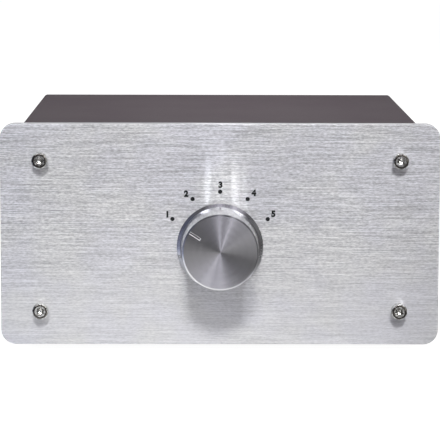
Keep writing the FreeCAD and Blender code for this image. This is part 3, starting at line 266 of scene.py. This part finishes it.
# %% The room as metal sees it
WHITE = (1, 1, 1, 1)
TO_CAMERA = (0, -0.992, -0.127)
SIDE_TINT, UPRIGHT_TINT = (0.99, 0.975, 0.995, 1), (0.985, 0.965, 1.07, 1)
LEFT_TINT = (0.85, 0.92, 1.25, 1)
LEFT_EDGE = (-0.55, -0.85)
EDGE_FALL, EDGE_OUTWARD, EDGE_RIGHTWARD = 0.5, (-0.7, -0.3), (-0.7, 0.1)
CEILING_AT, CEILING_GLOW = (0.174, 0, 0.985), 0.3
CEILING_RIM, CEILING_BACKWARD = (0.8, 0.92), (-0.2, -0.12)
ROOM_LEVELS = [(-180, 0.25), (-145, 0.35), (-129, 0.45), (-124, 0.41), (-115, 0.68), (-109, 0.6),
               (-101, 0.39), (-91, 0.54), (-84, 0.5), (-78, 0.36), (-68, 0.23), (-57, 0.16),
               (-45, 0.12), (-18, 0.11), (-8, 0.2), (12, 0.28), (25, 0.34), (41, 0.22), (54, 0.3),
               (61, 0.38), (67, 0.93), (74, 0.2), (81, 0.16), (90, 0.72), (97, 0.22), (106, 0.14),
               (158, 0.1), (172, 0.2)]


def room(stage, direction):
    """The room's level and hue in a direction, by its clock angle round the line to the camera."""
    across, deep, high = (stage.along(axis, direction) for axis in "XYZ")
    clock = stage.math("ARCTAN2", high - deep * (TO_CAMERA[2] / TO_CAMERA[1]), across)
    sideways = stage.math("COSINE", clock * 2) * 0.5 + 0.5
    hue = stage.blend(sideways, UPRIGHT_TINT, SIDE_TINT)
    hue = stage.blend(across.rises(*LEFT_EDGE), hue, LEFT_TINT)
    stops = [((angle + 180) / 360, level) for angle, level in ROOM_LEVELS]
    level = stage.node("ShaderNodeValToRGB", {"stops": stops}, {0: clock / math.tau + 0.5})
    fall = deep.rises(*EDGE_OUTWARD) * across.rises(*EDGE_RIGHTWARD)
    overhead = stage.vector("DOT_PRODUCT", direction, CEILING_AT, 1).rises(*CEILING_RIM)
    ceiling = overhead * deep.rises(*CEILING_BACKWARD)
    return level * (1 - fall * EDGE_FALL) + ceiling * CEILING_GLOW, hue


# %% World
ROOM_LIGHT = 0.25
SWEEP_EDGE = (0.25, 0.8)

studio = Finish(bpy.data.worlds.new("studio"))
bpy.context.scene.world = studio.owner
direction = studio.place("Generated")
behind = studio.along("Y", direction).rises(*SWEEP_EDGE)
room_level, room_hue = room(studio, direction)
in_metal = behind + (1 - behind) * room_level
shiny = studio.ray("Glossy")
seen = studio.ray("Camera", "Transmission")
level = seen + (1 - seen) * (shiny * in_metal + (1 - shiny) * ROOM_LIGHT)
hue = studio.blend(shiny * (1 - behind), WHITE, room_hue)
studio.end(studio.node("ShaderNodeBackground", None, {"Color": hue, "Strength": level}),
           "ShaderNodeOutputWorld")
print("a room of", len(ROOM_LEVELS), "levels")

# %% [markdown]
# ## The table
# Metal shows the table as well, in the lower half of everything. The table isn't evenly white there.
# Its ends fall off, which dims the plate's two ends. A darker strip lies before the plate's foot on
# the right, where only the knob's lower rim looks: paper laid beside a product shapes an edge that way.
# Only the near table is the table's own white. Further ahead it shows the room, like the world does.

# %% Table
TABLE_HALF, TABLE_SQUARES = 4, 8
TABLE_GLOW = 0.97
TABLE_SHADE = (0.18, 0.18, 0.18, 1)
TABLE_WHITE = (0.8, 0.8, 0.8, 1)
CARD_ROW, CARD_SLANT, CARD_DARK = -80 * MM, 0.05, 0.9
CARD_HALF, CARD_SOFT = 8 * MM, 4 * MM
CARD_STARTS, CARD_FULL = -20 * MM, 70 * MM
END_STARTS, END_FULL = 45 * MM, 78 * MM
LEFT_END_DARK, RIGHT_END_DARK = 0.2, 0.65
NEAR_AHEAD, NEAR_BELOW, NEAR_BEHIND = (-0.9, -0.65), (-0.1, -0.4), (0.1, 0.5)
KNOB_FACE = Vector((0, KNOB_LOW.y, AXIS_HIGH))

sheet = bmesh.new()
bmesh.ops.create_grid(sheet, x_segments=TABLE_SQUARES, y_segments=TABLE_SQUARES, size=TABLE_HALF)
table_mesh = bpy.data.meshes.new("table")
sheet.to_mesh(table_mesh)
sheet.free()
table = bpy.data.objects.new("table", table_mesh)
bpy.context.scene.collection.objects.link(table)

white_top = finish("white_table")
from_knob = white_top.vector("SUBTRACT", white_top.place(), tuple(KNOB_FACE))
direction = white_top.vector("NORMALIZE", from_knob)
ahead, above = white_top.along("Y", direction), white_top.along("Z", direction)
aside = white_top.along("X")
off_row = (white_top.along("Y") + aside * CARD_SLANT - CARD_ROW).size()
on_row = off_row.rises(CARD_HALF + CARD_SOFT, CARD_HALF - CARD_SOFT)
card = aside.rises(CARD_STARTS, CARD_FULL) * on_row
right_end = aside.rises(END_STARTS, END_FULL)
left_end = aside.rises(-END_STARTS, -END_FULL)
ends = 1 - right_end * RIGHT_END_DARK - left_end * LEFT_END_DARK
below = ahead.rises(*NEAR_AHEAD) * above.rises(*NEAR_BELOW) * (1 - card * CARD_DARK) * ends
near = below.most(ahead.rises(*NEAR_BEHIND))
room_level, room_hue = room(white_top, direction)
in_metal = near + (1 - near) * room_level
shiny = white_top.ray("Glossy")
glow = shiny * in_metal + (1 - shiny) * TABLE_GLOW
hue = white_top.blend(shiny * (1 - near), WHITE, room_hue)
lit = white_top.node("ShaderNodeEmission", None, {"Color": hue, "Strength": glow})
shaded = white_top.node("ShaderNodeBsdfDiffuse", None, {"Color": TABLE_SHADE})
both = white_top.node("ShaderNodeAddShader", None, {0: lit, 1: shaded})
direct = white_top.node("ShaderNodeMixShader", None, {0: shiny, 1: both, 2: lit})
plain = white_top.node("ShaderNodeBsdfDiffuse", None, {"Color": TABLE_WHITE})
looked_at = white_top.ray("Camera", "Glossy", "Transmission")
table_mesh.materials.append(white_top.end(
    white_top.node("ShaderNodeMixShader", None, {0: looked_at, 1: plain, 2: direct})))
print("table", 2 * TABLE_HALF, "m square")

# %% [markdown]
# ## The lamps
# The knob's shadow falls straight down and is a little longer than the knob stands proud, so the main
# light hangs high over the plate's middle line, 49 degrees off the way the plate faces. Brushed metal
# shows a lamp only in the columns that mirror it, so this lamp is wide enough for the whole plate.
# The two bright strips above the knob are the plate's view of the knob's side, and the side shows a
# panel on the right and one on the left. Where a strip stands tells the clock angle of its panel, and
# how far it reaches up tells the lean. A third panel, low on the right, brightens the right of the
# knob's side. Seen from the left, the plate would mirror that one as a white flare. A photographer puts
# up a flag, a black board between lamp and plate. Here light linking does the same: the low panel
# lights everything but the plate.
# A weak tube hangs low over the middle of the case, from front to back, so that its top is palest
# along the middle. Two more lamps stand behind for the sockets.

# %% Lamps
PLATE_MIDDLE = Vector((0, PLATE_FRONT, AXIS_HIGH))
CASE_MIDDLE = Vector((0, 0, 40)) * MM
OVER_CASE, DOWN = Vector((8, 30, 170)) * MM, Vector((0, 0, -1))
BEHIND_LEFT, BEHIND_RIGHT = Vector((-0.7, 1.0, 0.7)), Vector((0.8, 0.9, 0.5))
NEUTRAL, COOL = (1, 1, 1), (0.94, 0.96, 1)


def softbox(name, at, aim, wide, tall, watts, tint=NEUTRAL):
    """A flat lamp that faces a point and that the camera doesn't see."""
    lamp = bpy.data.lights.new(name, "AREA")
    lamp.shape = "RECTANGLE"
    lamp.size = wide
    lamp.size_y = tall
    lamp.energy = watts
    lamp.color = tint
    made = bpy.data.objects.new(name, lamp)
    bpy.context.scene.collection.objects.link(made)
    turn = (aim - at).to_track_quat("-Z", "Y")
    made.matrix_world = Matrix.Translation(at) @ turn.to_matrix().to_4x4()
    made.visible_camera = False
    print(name, watts, "W")
    return made


def before_plate(clock, lean, distance):
    """A point before the plate. Clock is the angle from the right, lean the angle off the plate's axis."""
    turn, tip = math.radians(clock), math.radians(lean)
    across = Vector((math.cos(turn), 0, math.sin(turn)))
    return PLATE_MIDDLE + distance * (across * math.sin(tip) - Vector((0, math.cos(tip), 0)))


softbox("key_light", before_plate(clock=86, lean=49, distance=0.95), PLATE_MIDDLE,
        wide=0.5, tall=0.15, watts=3.45)
softbox("right_panel", before_plate(clock=40, lean=42, distance=1.1), PLATE_MIDDLE,
        wide=0.34, tall=0.22, watts=5.8)
low_panel = softbox("low_panel", before_plate(clock=4, lean=46, distance=1.1), PLATE_MIDDLE,
                    wide=0.22, tall=0.22, watts=3.4)
softbox("left_panel", before_plate(clock=128, lean=42, distance=1.1), PLATE_MIDDLE,
        wide=0.3, tall=0.2, watts=5.8, tint=COOL)
softbox("top_light", OVER_CASE, OVER_CASE + DOWN, wide=0.05, tall=0.17, watts=0.085)
softbox("rear_left_light", BEHIND_LEFT, CASE_MIDDLE, wide=0.6, tall=0.6, watts=5)
softbox("rear_right_light", BEHIND_RIGHT, CASE_MIDDLE, wide=0.6, tall=0.6, watts=4)

# %% The flag
flag = bpy.data.collections.new("flag")
flag.objects.link(NODES["front_plate"])
flag.collection_objects[0].light_linking.link_state = "EXCLUDE"
low_panel.light_linking.receiver_collection = flag

# %% [markdown]
# ## The brushed plate
# The plate is drawn past a belt, which leaves thousands of shallow scratches along it. None can be
# seen by itself at this size, but they bunch into pale and dark streaks a few millimetres long, and
# together they smear a reflection across the grain. Along the grain the plate stays nearly a mirror,
# which is why the shadows on it have straight sides. The streaks are noise stretched along X, and the
# smear is the shader's anisotropy, full and turned a quarter so that it runs up and down. Towards the
# lower edge the streaks are fainter and the metal paler: that is painted light, standing in for the lit
# table that the lower plate mirrors. The sides were milled before the brushing: they have no streaks
# and are a little darker.

# %% Brushed aluminium
LONG_SHARE, SHORT_SHARE, FLECK_SHARE = 0.35, 0.3, 0.35
STREAK_EDGE, FRONT_EDGE = (0.36, 0.64), (0.3, 0.8)
# Painted light: from these heights down, the streaks fade and the dark streaks turn paler, standing in for
# the lit table below.
LIGHT_FADE_LOW, LIGHT_FADE_FULL = 8 * MM, 50 * MM
LIGHT_FADE_FOOT, LIGHT_FADE_TOP = 0.45, 0.93
ROUGH, ROUGH_SPREAD = 0.41, 0.2

plate = finish("brushed_plate")
long_streaks = plate.grain(26, 4, 0.5, detail=4, rough=0.72)
short_streaks = plate.grain(7, 4, 0.3, detail=4, rough=0.7)
clouds = plate.grain(18, 10, 18, detail=2)
flecks = plate.grain(1.3, 4, 0.36, detail=3, rough=0.65)
streak = long_streaks * LONG_SHARE + short_streaks * SHORT_SHARE + flecks * FLECK_SHARE
# Painted light: a fade of the streaks towards the plate's foot, as the table's reflection would light it.
painted_light_fade = plate.along("Z").rises(LIGHT_FADE_LOW, LIGHT_FADE_FULL) * (LIGHT_FADE_TOP - LIGHT_FADE_FOOT) + LIGHT_FADE_FOOT
front = plate.along("Y", plate.place("Normal")).size().rises(*FRONT_EDGE)
tint = plate.blend(clouds.rises(*CLOUD_EDGE), colour(250, 250, 249), colour(246, 246, 251))
# The dark streak colour is paler near the foot: painted light from the table below.
furrow = plate.blend(painted_light_fade, colour(182, 182, 185), colour(152, 152, 155))
brushed = plate.blend(((streak - 0.5) * painted_light_fade + 0.5).rises(*STREAK_EDGE), furrow, tint)
cover("plate_aluminium", plate.shade(
    Base_Color=plate.blend(front, colour(150, 150, 153), brushed),
    Metallic=1.0,
    Roughness=(streak - 0.5) * ROUGH_SPREAD + ROUGH,
    Anisotropic=1.0,
    Anisotropic_Rotation=0.25,
    Normal=plate.bump(streak, 0.01),
))

# %% [markdown]
# ## The turned knob
# A lathe leaves rings, finer than the eye can part. Each ring is a tiny ridge, so the surface faces a
# little in and out from one ring to the next, but never sideways. That is what draws fans across a
# turned face: each fan is as bright as the room in the one plane that its ridges can tip to the eye.
# Bump from a height can't be that fine without noise, so the normal itself is tipped along the cut,
# on the face, the bevels and the side alike, and then turned into world space, which the shader
# expects. The pointer was milled after the turning, and its burr shows as a thin pale outline.

# %% Turned aluminium
def turned(metal, axis_high, pitch, tip, lean):
    """How a turned surface faces, with rings a pitch apart round an axis along Y, and the rings."""
    centred = metal.vector("SUBTRACT", metal.place(), (0, 0, axis_high))
    outward = metal.vector("MULTIPLY", centred, (1, 0, 1))
    travel = metal.vector("LENGTH", outward, output=1) - metal.along("Y", centred)
    rings = metal.lines(travel, pitch).rises(0.25, 0.75)
    facing = metal.place("Normal")
    tangent = metal.vector("NORMALIZE", metal.vector("CROSS_PRODUCT", (0, 1, 0), outward))
    across = metal.vector("CROSS_PRODUCT", facing, tangent)
    tipped = metal.vector("ADD", facing, metal.scaled(across, (rings - 0.5) * tip + lean))
    return metal.in_world(tipped), rings


FLAT_EDGE = (0.9, 0.97)
FACE_TIP, SIDE_TIP, FACE_LEAN = 0.3, 0.07, 0.05
RING_PITCH = 0.05
POINTER_CLOCK = math.radians(147)
POINTER_WIDE, POINTER_INNER = 0.75 * MM, 8.1 * MM
POINTER_ALONG = (math.cos(POINTER_CLOCK), 0, math.sin(POINTER_CLOCK))
POINTER_ACROSS = (-math.sin(POINTER_CLOCK), 0, math.cos(POINTER_CLOCK))
BURR_EDGE = (0.03 * MM, 0.1 * MM)

knob = finish("turned_knob")
on_face = knob.along("Y", knob.place("Normal")).size().rises(*FLAT_EDGE)
spot = knob.vector("SUBTRACT", knob.place(), (0, 0, AXIS_HIGH))
reach = knob.vector("DOT_PRODUCT", spot, POINTER_ALONG, 1)
aside = knob.vector("DOT_PRODUCT", spot, POINTER_ACROSS, 1)
outside = (aside.size() - POINTER_WIDE / 2).most(POINTER_INNER - reach)
burr = (1 - outside.size().rises(*BURR_EDGE)) * on_face
tip = on_face * FACE_TIP + (1 - on_face) * SIDE_TIP
knob_facing, knob_rings = turned(knob, AXIS_HIGH, RING_PITCH, tip, on_face * FACE_LEAN)
smudge = knob.grain(7, 7, 7, detail=3)
ringed = knob.blend(knob_rings, colour(222, 222, 225), colour(238, 238, 240))
cover("knob_aluminium", knob.shade(
    Base_Color=knob.blend(burr, ringed, colour(225, 225, 228)),
    Metallic=1 - burr * 0.6,
    Roughness=smudge * 0.05 + 0.06 + burr * 0.3,
    Normal=knob_facing,
))

# %% [markdown]
# ## Plated screws
# The four cap screws are steel with a bright plating that settles into faint clouds, and the side of
# each head is knurled. The knurl is a wave that runs round the nearest screw: the sign of a place
# tells which side of the plate's middle lines it lies on, so one pattern serves all four heads. A dark
# ring is painted near the head's edge, where it turns away: partly dirt, and partly painted shade.
# The punched socket's floor is hollow, so it gathers the main light into one bright patch below the middle.

# %% Plated screws
SCREW_ASIDE, SCREW_MIDDLE, SCREW_UP = 61.5 * MM, 40.1 * MM, 25.9 * MM
KNURLS, KNURL_TIP, KNURL_EDGE = 36, 0.6, (0.1, 0.3)
DISH_RADIUS, DISH_TIP, DISH_STRETCH = 1.25 * MM, 0.65, (2, 1, 1)
DISH_EDGE = (0.92 * DISH_RADIUS, DISH_RADIUS)
# Radii of the dark ring near each head's edge: partly dirt, partly painted shade.
RING_INNER, RING_OUTER, RING_SOFT = 1.85 * MM, 2.42 * MM, 0.1 * MM
RING_EDGE, MOTTLE_EDGE = (0.15, 0.35), (0.38, 0.62)

screw = finish("bright_plating")
aside = screw.along("X") - screw.math("SIGN", screw.along("X")) * SCREW_ASIDE
above = screw.along("Z") - SCREW_MIDDLE
up = above - screw.math("SIGN", above) * SCREW_UP
out = screw.math("SQRT", aside * aside + up * up)
outward = screw.node("ShaderNodeCombineXYZ", None, {"X": aside, "Z": up})
round_head = screw.vector("NORMALIZE", outward)
tangent = screw.vector("CROSS_PRODUCT", round_head, (0, 1, 0))
straight = screw.along("Y", screw.place("Normal")).size()
on_side = 1 - straight.rises(*KNURL_EDGE)
dish = straight.rises(*FLAT_EDGE) * (1 - out.rises(*DISH_EDGE)) * out / DISH_RADIUS
knurl = screw.math("SINE", screw.math("ARCTAN2", up, aside) * KNURLS)
knurled = screw.scaled(tangent, knurl * on_side * KNURL_TIP)
hollow = screw.scaled(screw.vector("MULTIPLY", round_head, DISH_STRETCH), dish * DISH_TIP)
tipped = screw.vector("SUBTRACT", screw.vector("ADD", screw.place("Normal"), knurled), hollow)
# Dirt and painted shade: a dark ring between these radii, on the head's front and its rounded edge.
past_inner = out.rises(RING_INNER - RING_SOFT, RING_INNER + RING_SOFT)
past_outer = out.rises(RING_OUTER - RING_SOFT, RING_OUTER + RING_SOFT)
dirt_and_painted_shade_ring = past_inner * (1 - past_outer) * straight.rises(*RING_EDGE)
mottle = screw.grain(0.9, 0.9, 0.9, detail=3, rough=0.6)
face = screw.blend(mottle.rises(*MOTTLE_EDGE), colour(150, 148, 143), colour(243, 243, 241))
cover("plated_screws", screw.shade(
    # The dark colour is the ring's dirt and painted shade.
    Base_Color=screw.blend(dirt_and_painted_shade_ring, face, colour(70, 66, 62)),
    Metallic=1.0,
    Roughness=mottle * 0.3 + 0.08,
    Normal=screw.in_world(tipped),
))

# %% [markdown]
# ## Paint
# The case is powder coated: the powder melts into a skin with a fine orange-peel and a satin gloss.
# Seen nearly edge on, a smooth skin would mirror the white sweep, so the peel and the roughness are
# what keep the top dark.

# %% Case paint
paint = finish("powder_coat")
peel = paint.grain(0.5, 0.5, 0.5, detail=3, rough=0.6)
drift = paint.grain(35, 35, 35, detail=2)
cover("case_paint", paint.shade(
    Base_Color=paint.blend(drift.rises(*CLOUD_EDGE), colour(58, 49, 54), colour(61, 53, 57)),
    Roughness=peel * 0.14 + 0.84,
    Specular_IOR_Level=0.15,
    Normal=paint.bump(peel, 0.05),
))

# %% [markdown]
# ## Turned and plated pieces
# The phono sockets, the bushing and its nut, the shaft and the spacers all come off a lathe, with
# their axis from front to back. The tool leaves fine rings along that axis, and plating and handling
# leave faint clouds on top. One recipe with its own colours and pitch serves them all.

# %% Turned metals
def turned_rod(name, dull, bright, rough, cloud, pitch):
    """Metal turned along Y, with clouds and rings of a size in millimetres."""
    metal = finish(name)
    clouds = metal.grain(cloud, cloud, cloud, detail=3)
    rings = metal.lines(metal.along("Y"), pitch)
    return metal.shade(
        Base_Color=metal.blend(clouds.rises(*CLOUD_EDGE), dull, bright),
        Metallic=1.0,
        Roughness=clouds * 0.16 + rings * 0.1 + rough,
        Normal=metal.bump(rings, 0.006),
    )


cover("gold_plate", turned_rod("gold_over_brass", colour(224, 176, 90), colour(246, 208, 130),
                               rough=0.1, cloud=4, pitch=0.2))
cover("brass", turned_rod("turned_brass", colour(190, 148, 76), colour(222, 186, 112),
                          rough=0.2, cloud=2.5, pitch=0.15))
cover("shaft_aluminium", turned_rod("turned_rod_aluminium", colour(174, 175, 179), colour(214, 214, 217),
                                    rough=0.22, cloud=3, pitch=0.12))

# %% [markdown]
# ## Stamped pieces
# The switch frame, the wheel, the wipers and the contacts are punched from rolled strip. Rolling
# leaves long faint lines in the strip, and the finish comes after: zinc goes cloudy and a little
# blue, spring steel is left bare and straw grey, silver over brass tarnishes in warm patches.

# %% Stamped metals
def rolled_strip(name, dull, bright, rough, cloud):
    """Rolled metal with lines along X, and clouds of a size in millimetres."""
    metal = finish(name)
    clouds = metal.grain(cloud, cloud, cloud, detail=4, rough=0.6)
    rolling = metal.grain(9, 0.12, 0.12, detail=3)
    return metal.shade(
        Base_Color=metal.blend((clouds * 0.7 + rolling * 0.3).rises(0.36, 0.62), dull, bright),
        Metallic=1.0,
        Roughness=clouds * 0.2 + rolling * 0.12 + rough,
        Normal=metal.bump(rolling, 0.008),
    )


cover("zinc_steel", rolled_strip("zinc_plating", colour(160, 165, 175), colour(206, 209, 215),
                                 rough=0.2, cloud=2))
cover("spring_steel", rolled_strip("rolled_spring", colour(140, 137, 130), colour(184, 182, 178),
                                   rough=0.14, cloud=3))
cover("silvered_brass", rolled_strip("silver_plating", colour(178, 166, 142), colour(224, 221, 213),
                                     rough=0.16, cloud=1.5))

# %% [markdown]
# ## Black screws
# The screws that nobody should notice are blackened by a hot salt bath. The black is a thin skin
# with steel's own gloss under it, a little brown where a driver has rubbed the edge.

# %% Blackened steel
black = finish("blackened_steel")
salt = black.grain(0.35, 0.35, 0.35, detail=4, rough=0.7)
rubbed = black.grain(1.6, 1.6, 1.6, detail=2).rises(0.55, 0.7)
skin = black.blend(salt, colour(38, 38, 42), colour(66, 65, 68))
cover("black_steel", black.shade(
    Base_Color=black.blend(rubbed, skin, colour(96, 86, 78)),
    Metallic=0.9,
    Roughness=salt * 0.25 + 0.32,
    Normal=black.bump(salt, 0.008),
))

# %% [markdown]
# ## Plastics, rubber and wire
# Moulded pieces have a skin that copies the mould, finely pebbled, and a colour that drifts a little
# with the flow. Rubber is the same with a coarser, duller skin, and it holds dust.

# %% Moulded skins
def moulded(name, low, high, rough, pebble, deep):
    """Plastic with a pebbled skin of a size and a depth in millimetres."""
    plastic = finish(name)
    flow = plastic.grain(5, 5, 5, detail=3)
    skin = plastic.grain(pebble, pebble, pebble, detail=2)
    return plastic.shade(
        Base_Color=plastic.blend((flow * 0.7 + skin * 0.3).rises(*CLOUD_EDGE), low, high),
        Roughness=skin * 0.2 + rough,
        Normal=plastic.bump(skin, deep),
    )


cover("white_plastic", moulded("white_insulator", colour(208, 207, 200), colour(232, 232, 228),
                               rough=0.3, pebble=0.3, deep=0.01))
cover("red_plastic", moulded("red_insulator", colour(150, 18, 20), colour(186, 32, 32),
                             rough=0.28, pebble=0.3, deep=0.01))
cover("rotor_plastic", moulded("cream_moulding", colour(206, 198, 174), colour(228, 221, 202),
                               rough=0.34, pebble=0.4, deep=0.012))
cover("white_wire", moulded("white_sleeve", colour(202, 202, 196), colour(226, 226, 221),
                            rough=0.26, pebble=0.8, deep=0.02))
cover("red_wire", moulded("red_sleeve", colour(146, 22, 24), colour(184, 38, 36),
                          rough=0.26, pebble=0.8, deep=0.02))
cover("foot_rubber", moulded("foot_skin", colour(24, 24, 25), colour(46, 46, 46),
                             rough=0.66, pebble=0.35, deep=0.04))

# %% [markdown]
# ## Board and fibre
# The switch wafers are paper pressed with resin: brown, with short fibres that lie every way and
# darker specks. The washers behind the sockets are vulcanised fibre, redder and matt.

# %% Wafer board
board = finish("resin_paper")
level_fibres = board.grain(2.2, 2.2, 0.2, detail=3, rough=0.6)
upright_fibres = board.grain(0.2, 2.2, 2.2, detail=3, rough=0.6)
fibres = (level_fibres + upright_fibres) * 0.5
specks = board.grain(0.5, 0.5, 0.5, detail=1).rises(0.62, 0.7)
weave = board.blend(fibres.rises(0.4, 0.6), colour(132, 92, 52), colour(172, 128, 82))
cover("wafer_board", board.shade(
    Base_Color=board.blend(specks * 0.6, weave, colour(70, 44, 26)),
    Roughness=fibres * 0.3 + 0.35,
    Normal=board.bump(fibres, 0.02),
))

# %% Fibre washers
fibre = finish("vulcanised_fibre")
pulp = fibre.grain(0.8, 0.8, 0.25, detail=4, rough=0.7)
cover("fibre", fibre.shade(
    Base_Color=fibre.blend(pulp.rises(*CLOUD_EDGE), colour(98, 44, 34), colour(140, 72, 56)),
    Roughness=pulp * 0.2 + 0.6,
    Normal=fibre.bump(pulp, 0.02),
))

# %% [markdown]
# ## Printed marks
# Five dots and their numbers are screen-printed in black: a film of ink that stands a little proud.
# A dot is a shallow disc. It could be a circle that is extruded by the ink's thickness, but a cone with
# two equal radii is the same disc in one step, and its faces come in the same order each run. The
# numbers are text made bold and turned into mesh, so that they lie on the plate like everything else.

# %% Ink
INK_PROUD = 0.03 * MM

ink = finish("black_ink")
speckle = ink.grain(0.2, 0.2, 0.2, detail=2)
ink_material = ink.shade(
    Base_Color=ink.blend(speckle, colour(6, 6, 8), colour(16, 16, 18)),
    Roughness=speckle * 0.2 + 0.5,
    Specular_IOR_Level=0.25,
    Normal=ink.bump(speckle, 0.004),
)


def piece(name, sheet, material, body):
    """Makes an object of a bmesh, gives it its finish and lets it ride on a body."""
    mesh = bpy.data.meshes.new(name)
    bmesh.ops.recalc_face_normals(sheet, faces=sheet.faces)
    sheet.to_mesh(mesh)
    sheet.free()
    made = bpy.data.objects.new(name, mesh)
    bpy.context.scene.collection.objects.link(made)
    mesh.materials.append(material)
    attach(made, body)
    print(name, len(mesh.polygons), "faces")


# %% Dots
STOPS = 5
FIRST_ANGLE, STEP_ANGLE = -60, 30
DOT_CIRCLE = 18.8 * MM
DOT_RADIUS, DOT_SIDES = 0.74 * MM, 40

dots = bmesh.new()
for stop in range(STOPS):
    turn = Matrix.Rotation(math.radians(FIRST_ANGLE + STEP_ANGLE * stop), 3, "Y")
    centre = PLATE_MIDDLE + turn @ Vector((0, 0, DOT_CIRCLE)) + Vector((0, -INK_PROUD / 2, 0))
    stand = Matrix.Translation(centre) @ Matrix.Rotation(math.radians(90), 4, "X")
    bmesh.ops.create_cone(dots, cap_ends=True, segments=DOT_SIDES, radius1=DOT_RADIUS,
                          radius2=DOT_RADIUS, depth=INK_PROUD, matrix=stand)
piece("printed_dots", dots, ink_material, "case")


# %% Print as mesh
def print_on(wall, facing, words, tall, bold):
    """Words as one mesh on a wall at a given Y, each centred at its spot. Facing is -1 or 1."""
    sheet = bmesh.new()
    for word, x, z in words:
        text = bpy.data.curves.new("print", "FONT")
        text.body = word
        text.offset = bold
        text.extrude = 0.5
        carrier = bpy.data.objects.new("print", text)
        flat = bpy.data.meshes.new_from_object(carrier)
        bpy.data.objects.remove(carrier)
        low = Vector(map(min, *(corner.co for corner in flat.vertices)))
        high = Vector(map(max, *(corner.co for corner in flat.vertices)))
        size = tall / (high.y - low.y)
        flat.transform(
            Matrix.Translation((x, wall, z))
            @ Matrix.Rotation(math.pi / 2 * (1 + facing), 4, "Z")
            @ Matrix.Rotation(math.pi / 2, 4, "X")
            @ Matrix.Diagonal((size, size, 2 * INK_PROUD, 1))
            @ Matrix.Translation(-(low + high) / 2))
        sheet.from_mesh(flat)
        bpy.data.meshes.remove(flat)
    return sheet


# %% Numbers on the plate
NUMBER_TALL = 2.3 * MM
NUMBER_BOLD = 0.07
NUMBER_SPOTS = [(-18.0, 11.0), (-11.6, 18.1), (0.1, 21.2), (11.5, 18.4), (18.2, 11.25)]

numbers = [(str(stop + 1), x * MM, AXIS_HIGH + z * MM) for stop, (x, z) in enumerate(NUMBER_SPOTS)]
printed = print_on(PLATE_FRONT, -1, numbers, NUMBER_TALL, NUMBER_BOLD)
piece("printed_numbers", printed, ink_material, "case")

# %% [markdown]
# On the dark rear wall the print is pale. It numbers the five inputs and names the way out, and a
# letter beside each row tells left from right.

# %% Marks behind
pale = finish("pale_ink")
worn = pale.grain(0.3, 0.3, 0.3, detail=3)
film = pale.blend(worn.rises(0.3, 0.7), colour(176, 176, 172), colour(214, 214, 210))
pale_material = pale.shade(
    Base_Color=film,
    Roughness=worn * 0.2 + 0.5,
    Normal=pale.bump(worn, 0.004),
)

SOCKET_ASIDE, SOCKET_STEP = 47.5 * MM, 19 * MM
MARK_ROW = 45.5 * MM
SIDE_MARK, UPPER_ROW, LOWER_ROW = 58.5 * MM, 56 * MM, 35 * MM
MARK_TALL = 2.6 * MM
MARK_BOLD = 0.02

marks = [(str(stop + 1), stop * SOCKET_STEP - SOCKET_ASIDE, MARK_ROW) for stop in range(STOPS)]
marks.append(("OUT", SOCKET_ASIDE, MARK_ROW))
marks += [("L", SIDE_MARK, UPPER_ROW), ("R", SIDE_MARK, LOWER_ROW)]
printed = print_on(REAR_WALL, 1, marks, MARK_TALL, MARK_BOLD)
piece("rear_marks", printed, pale_material, "case")

# %% Pieces left without a finish
print("left without a finish:", sorted(set(NODES) - finished))
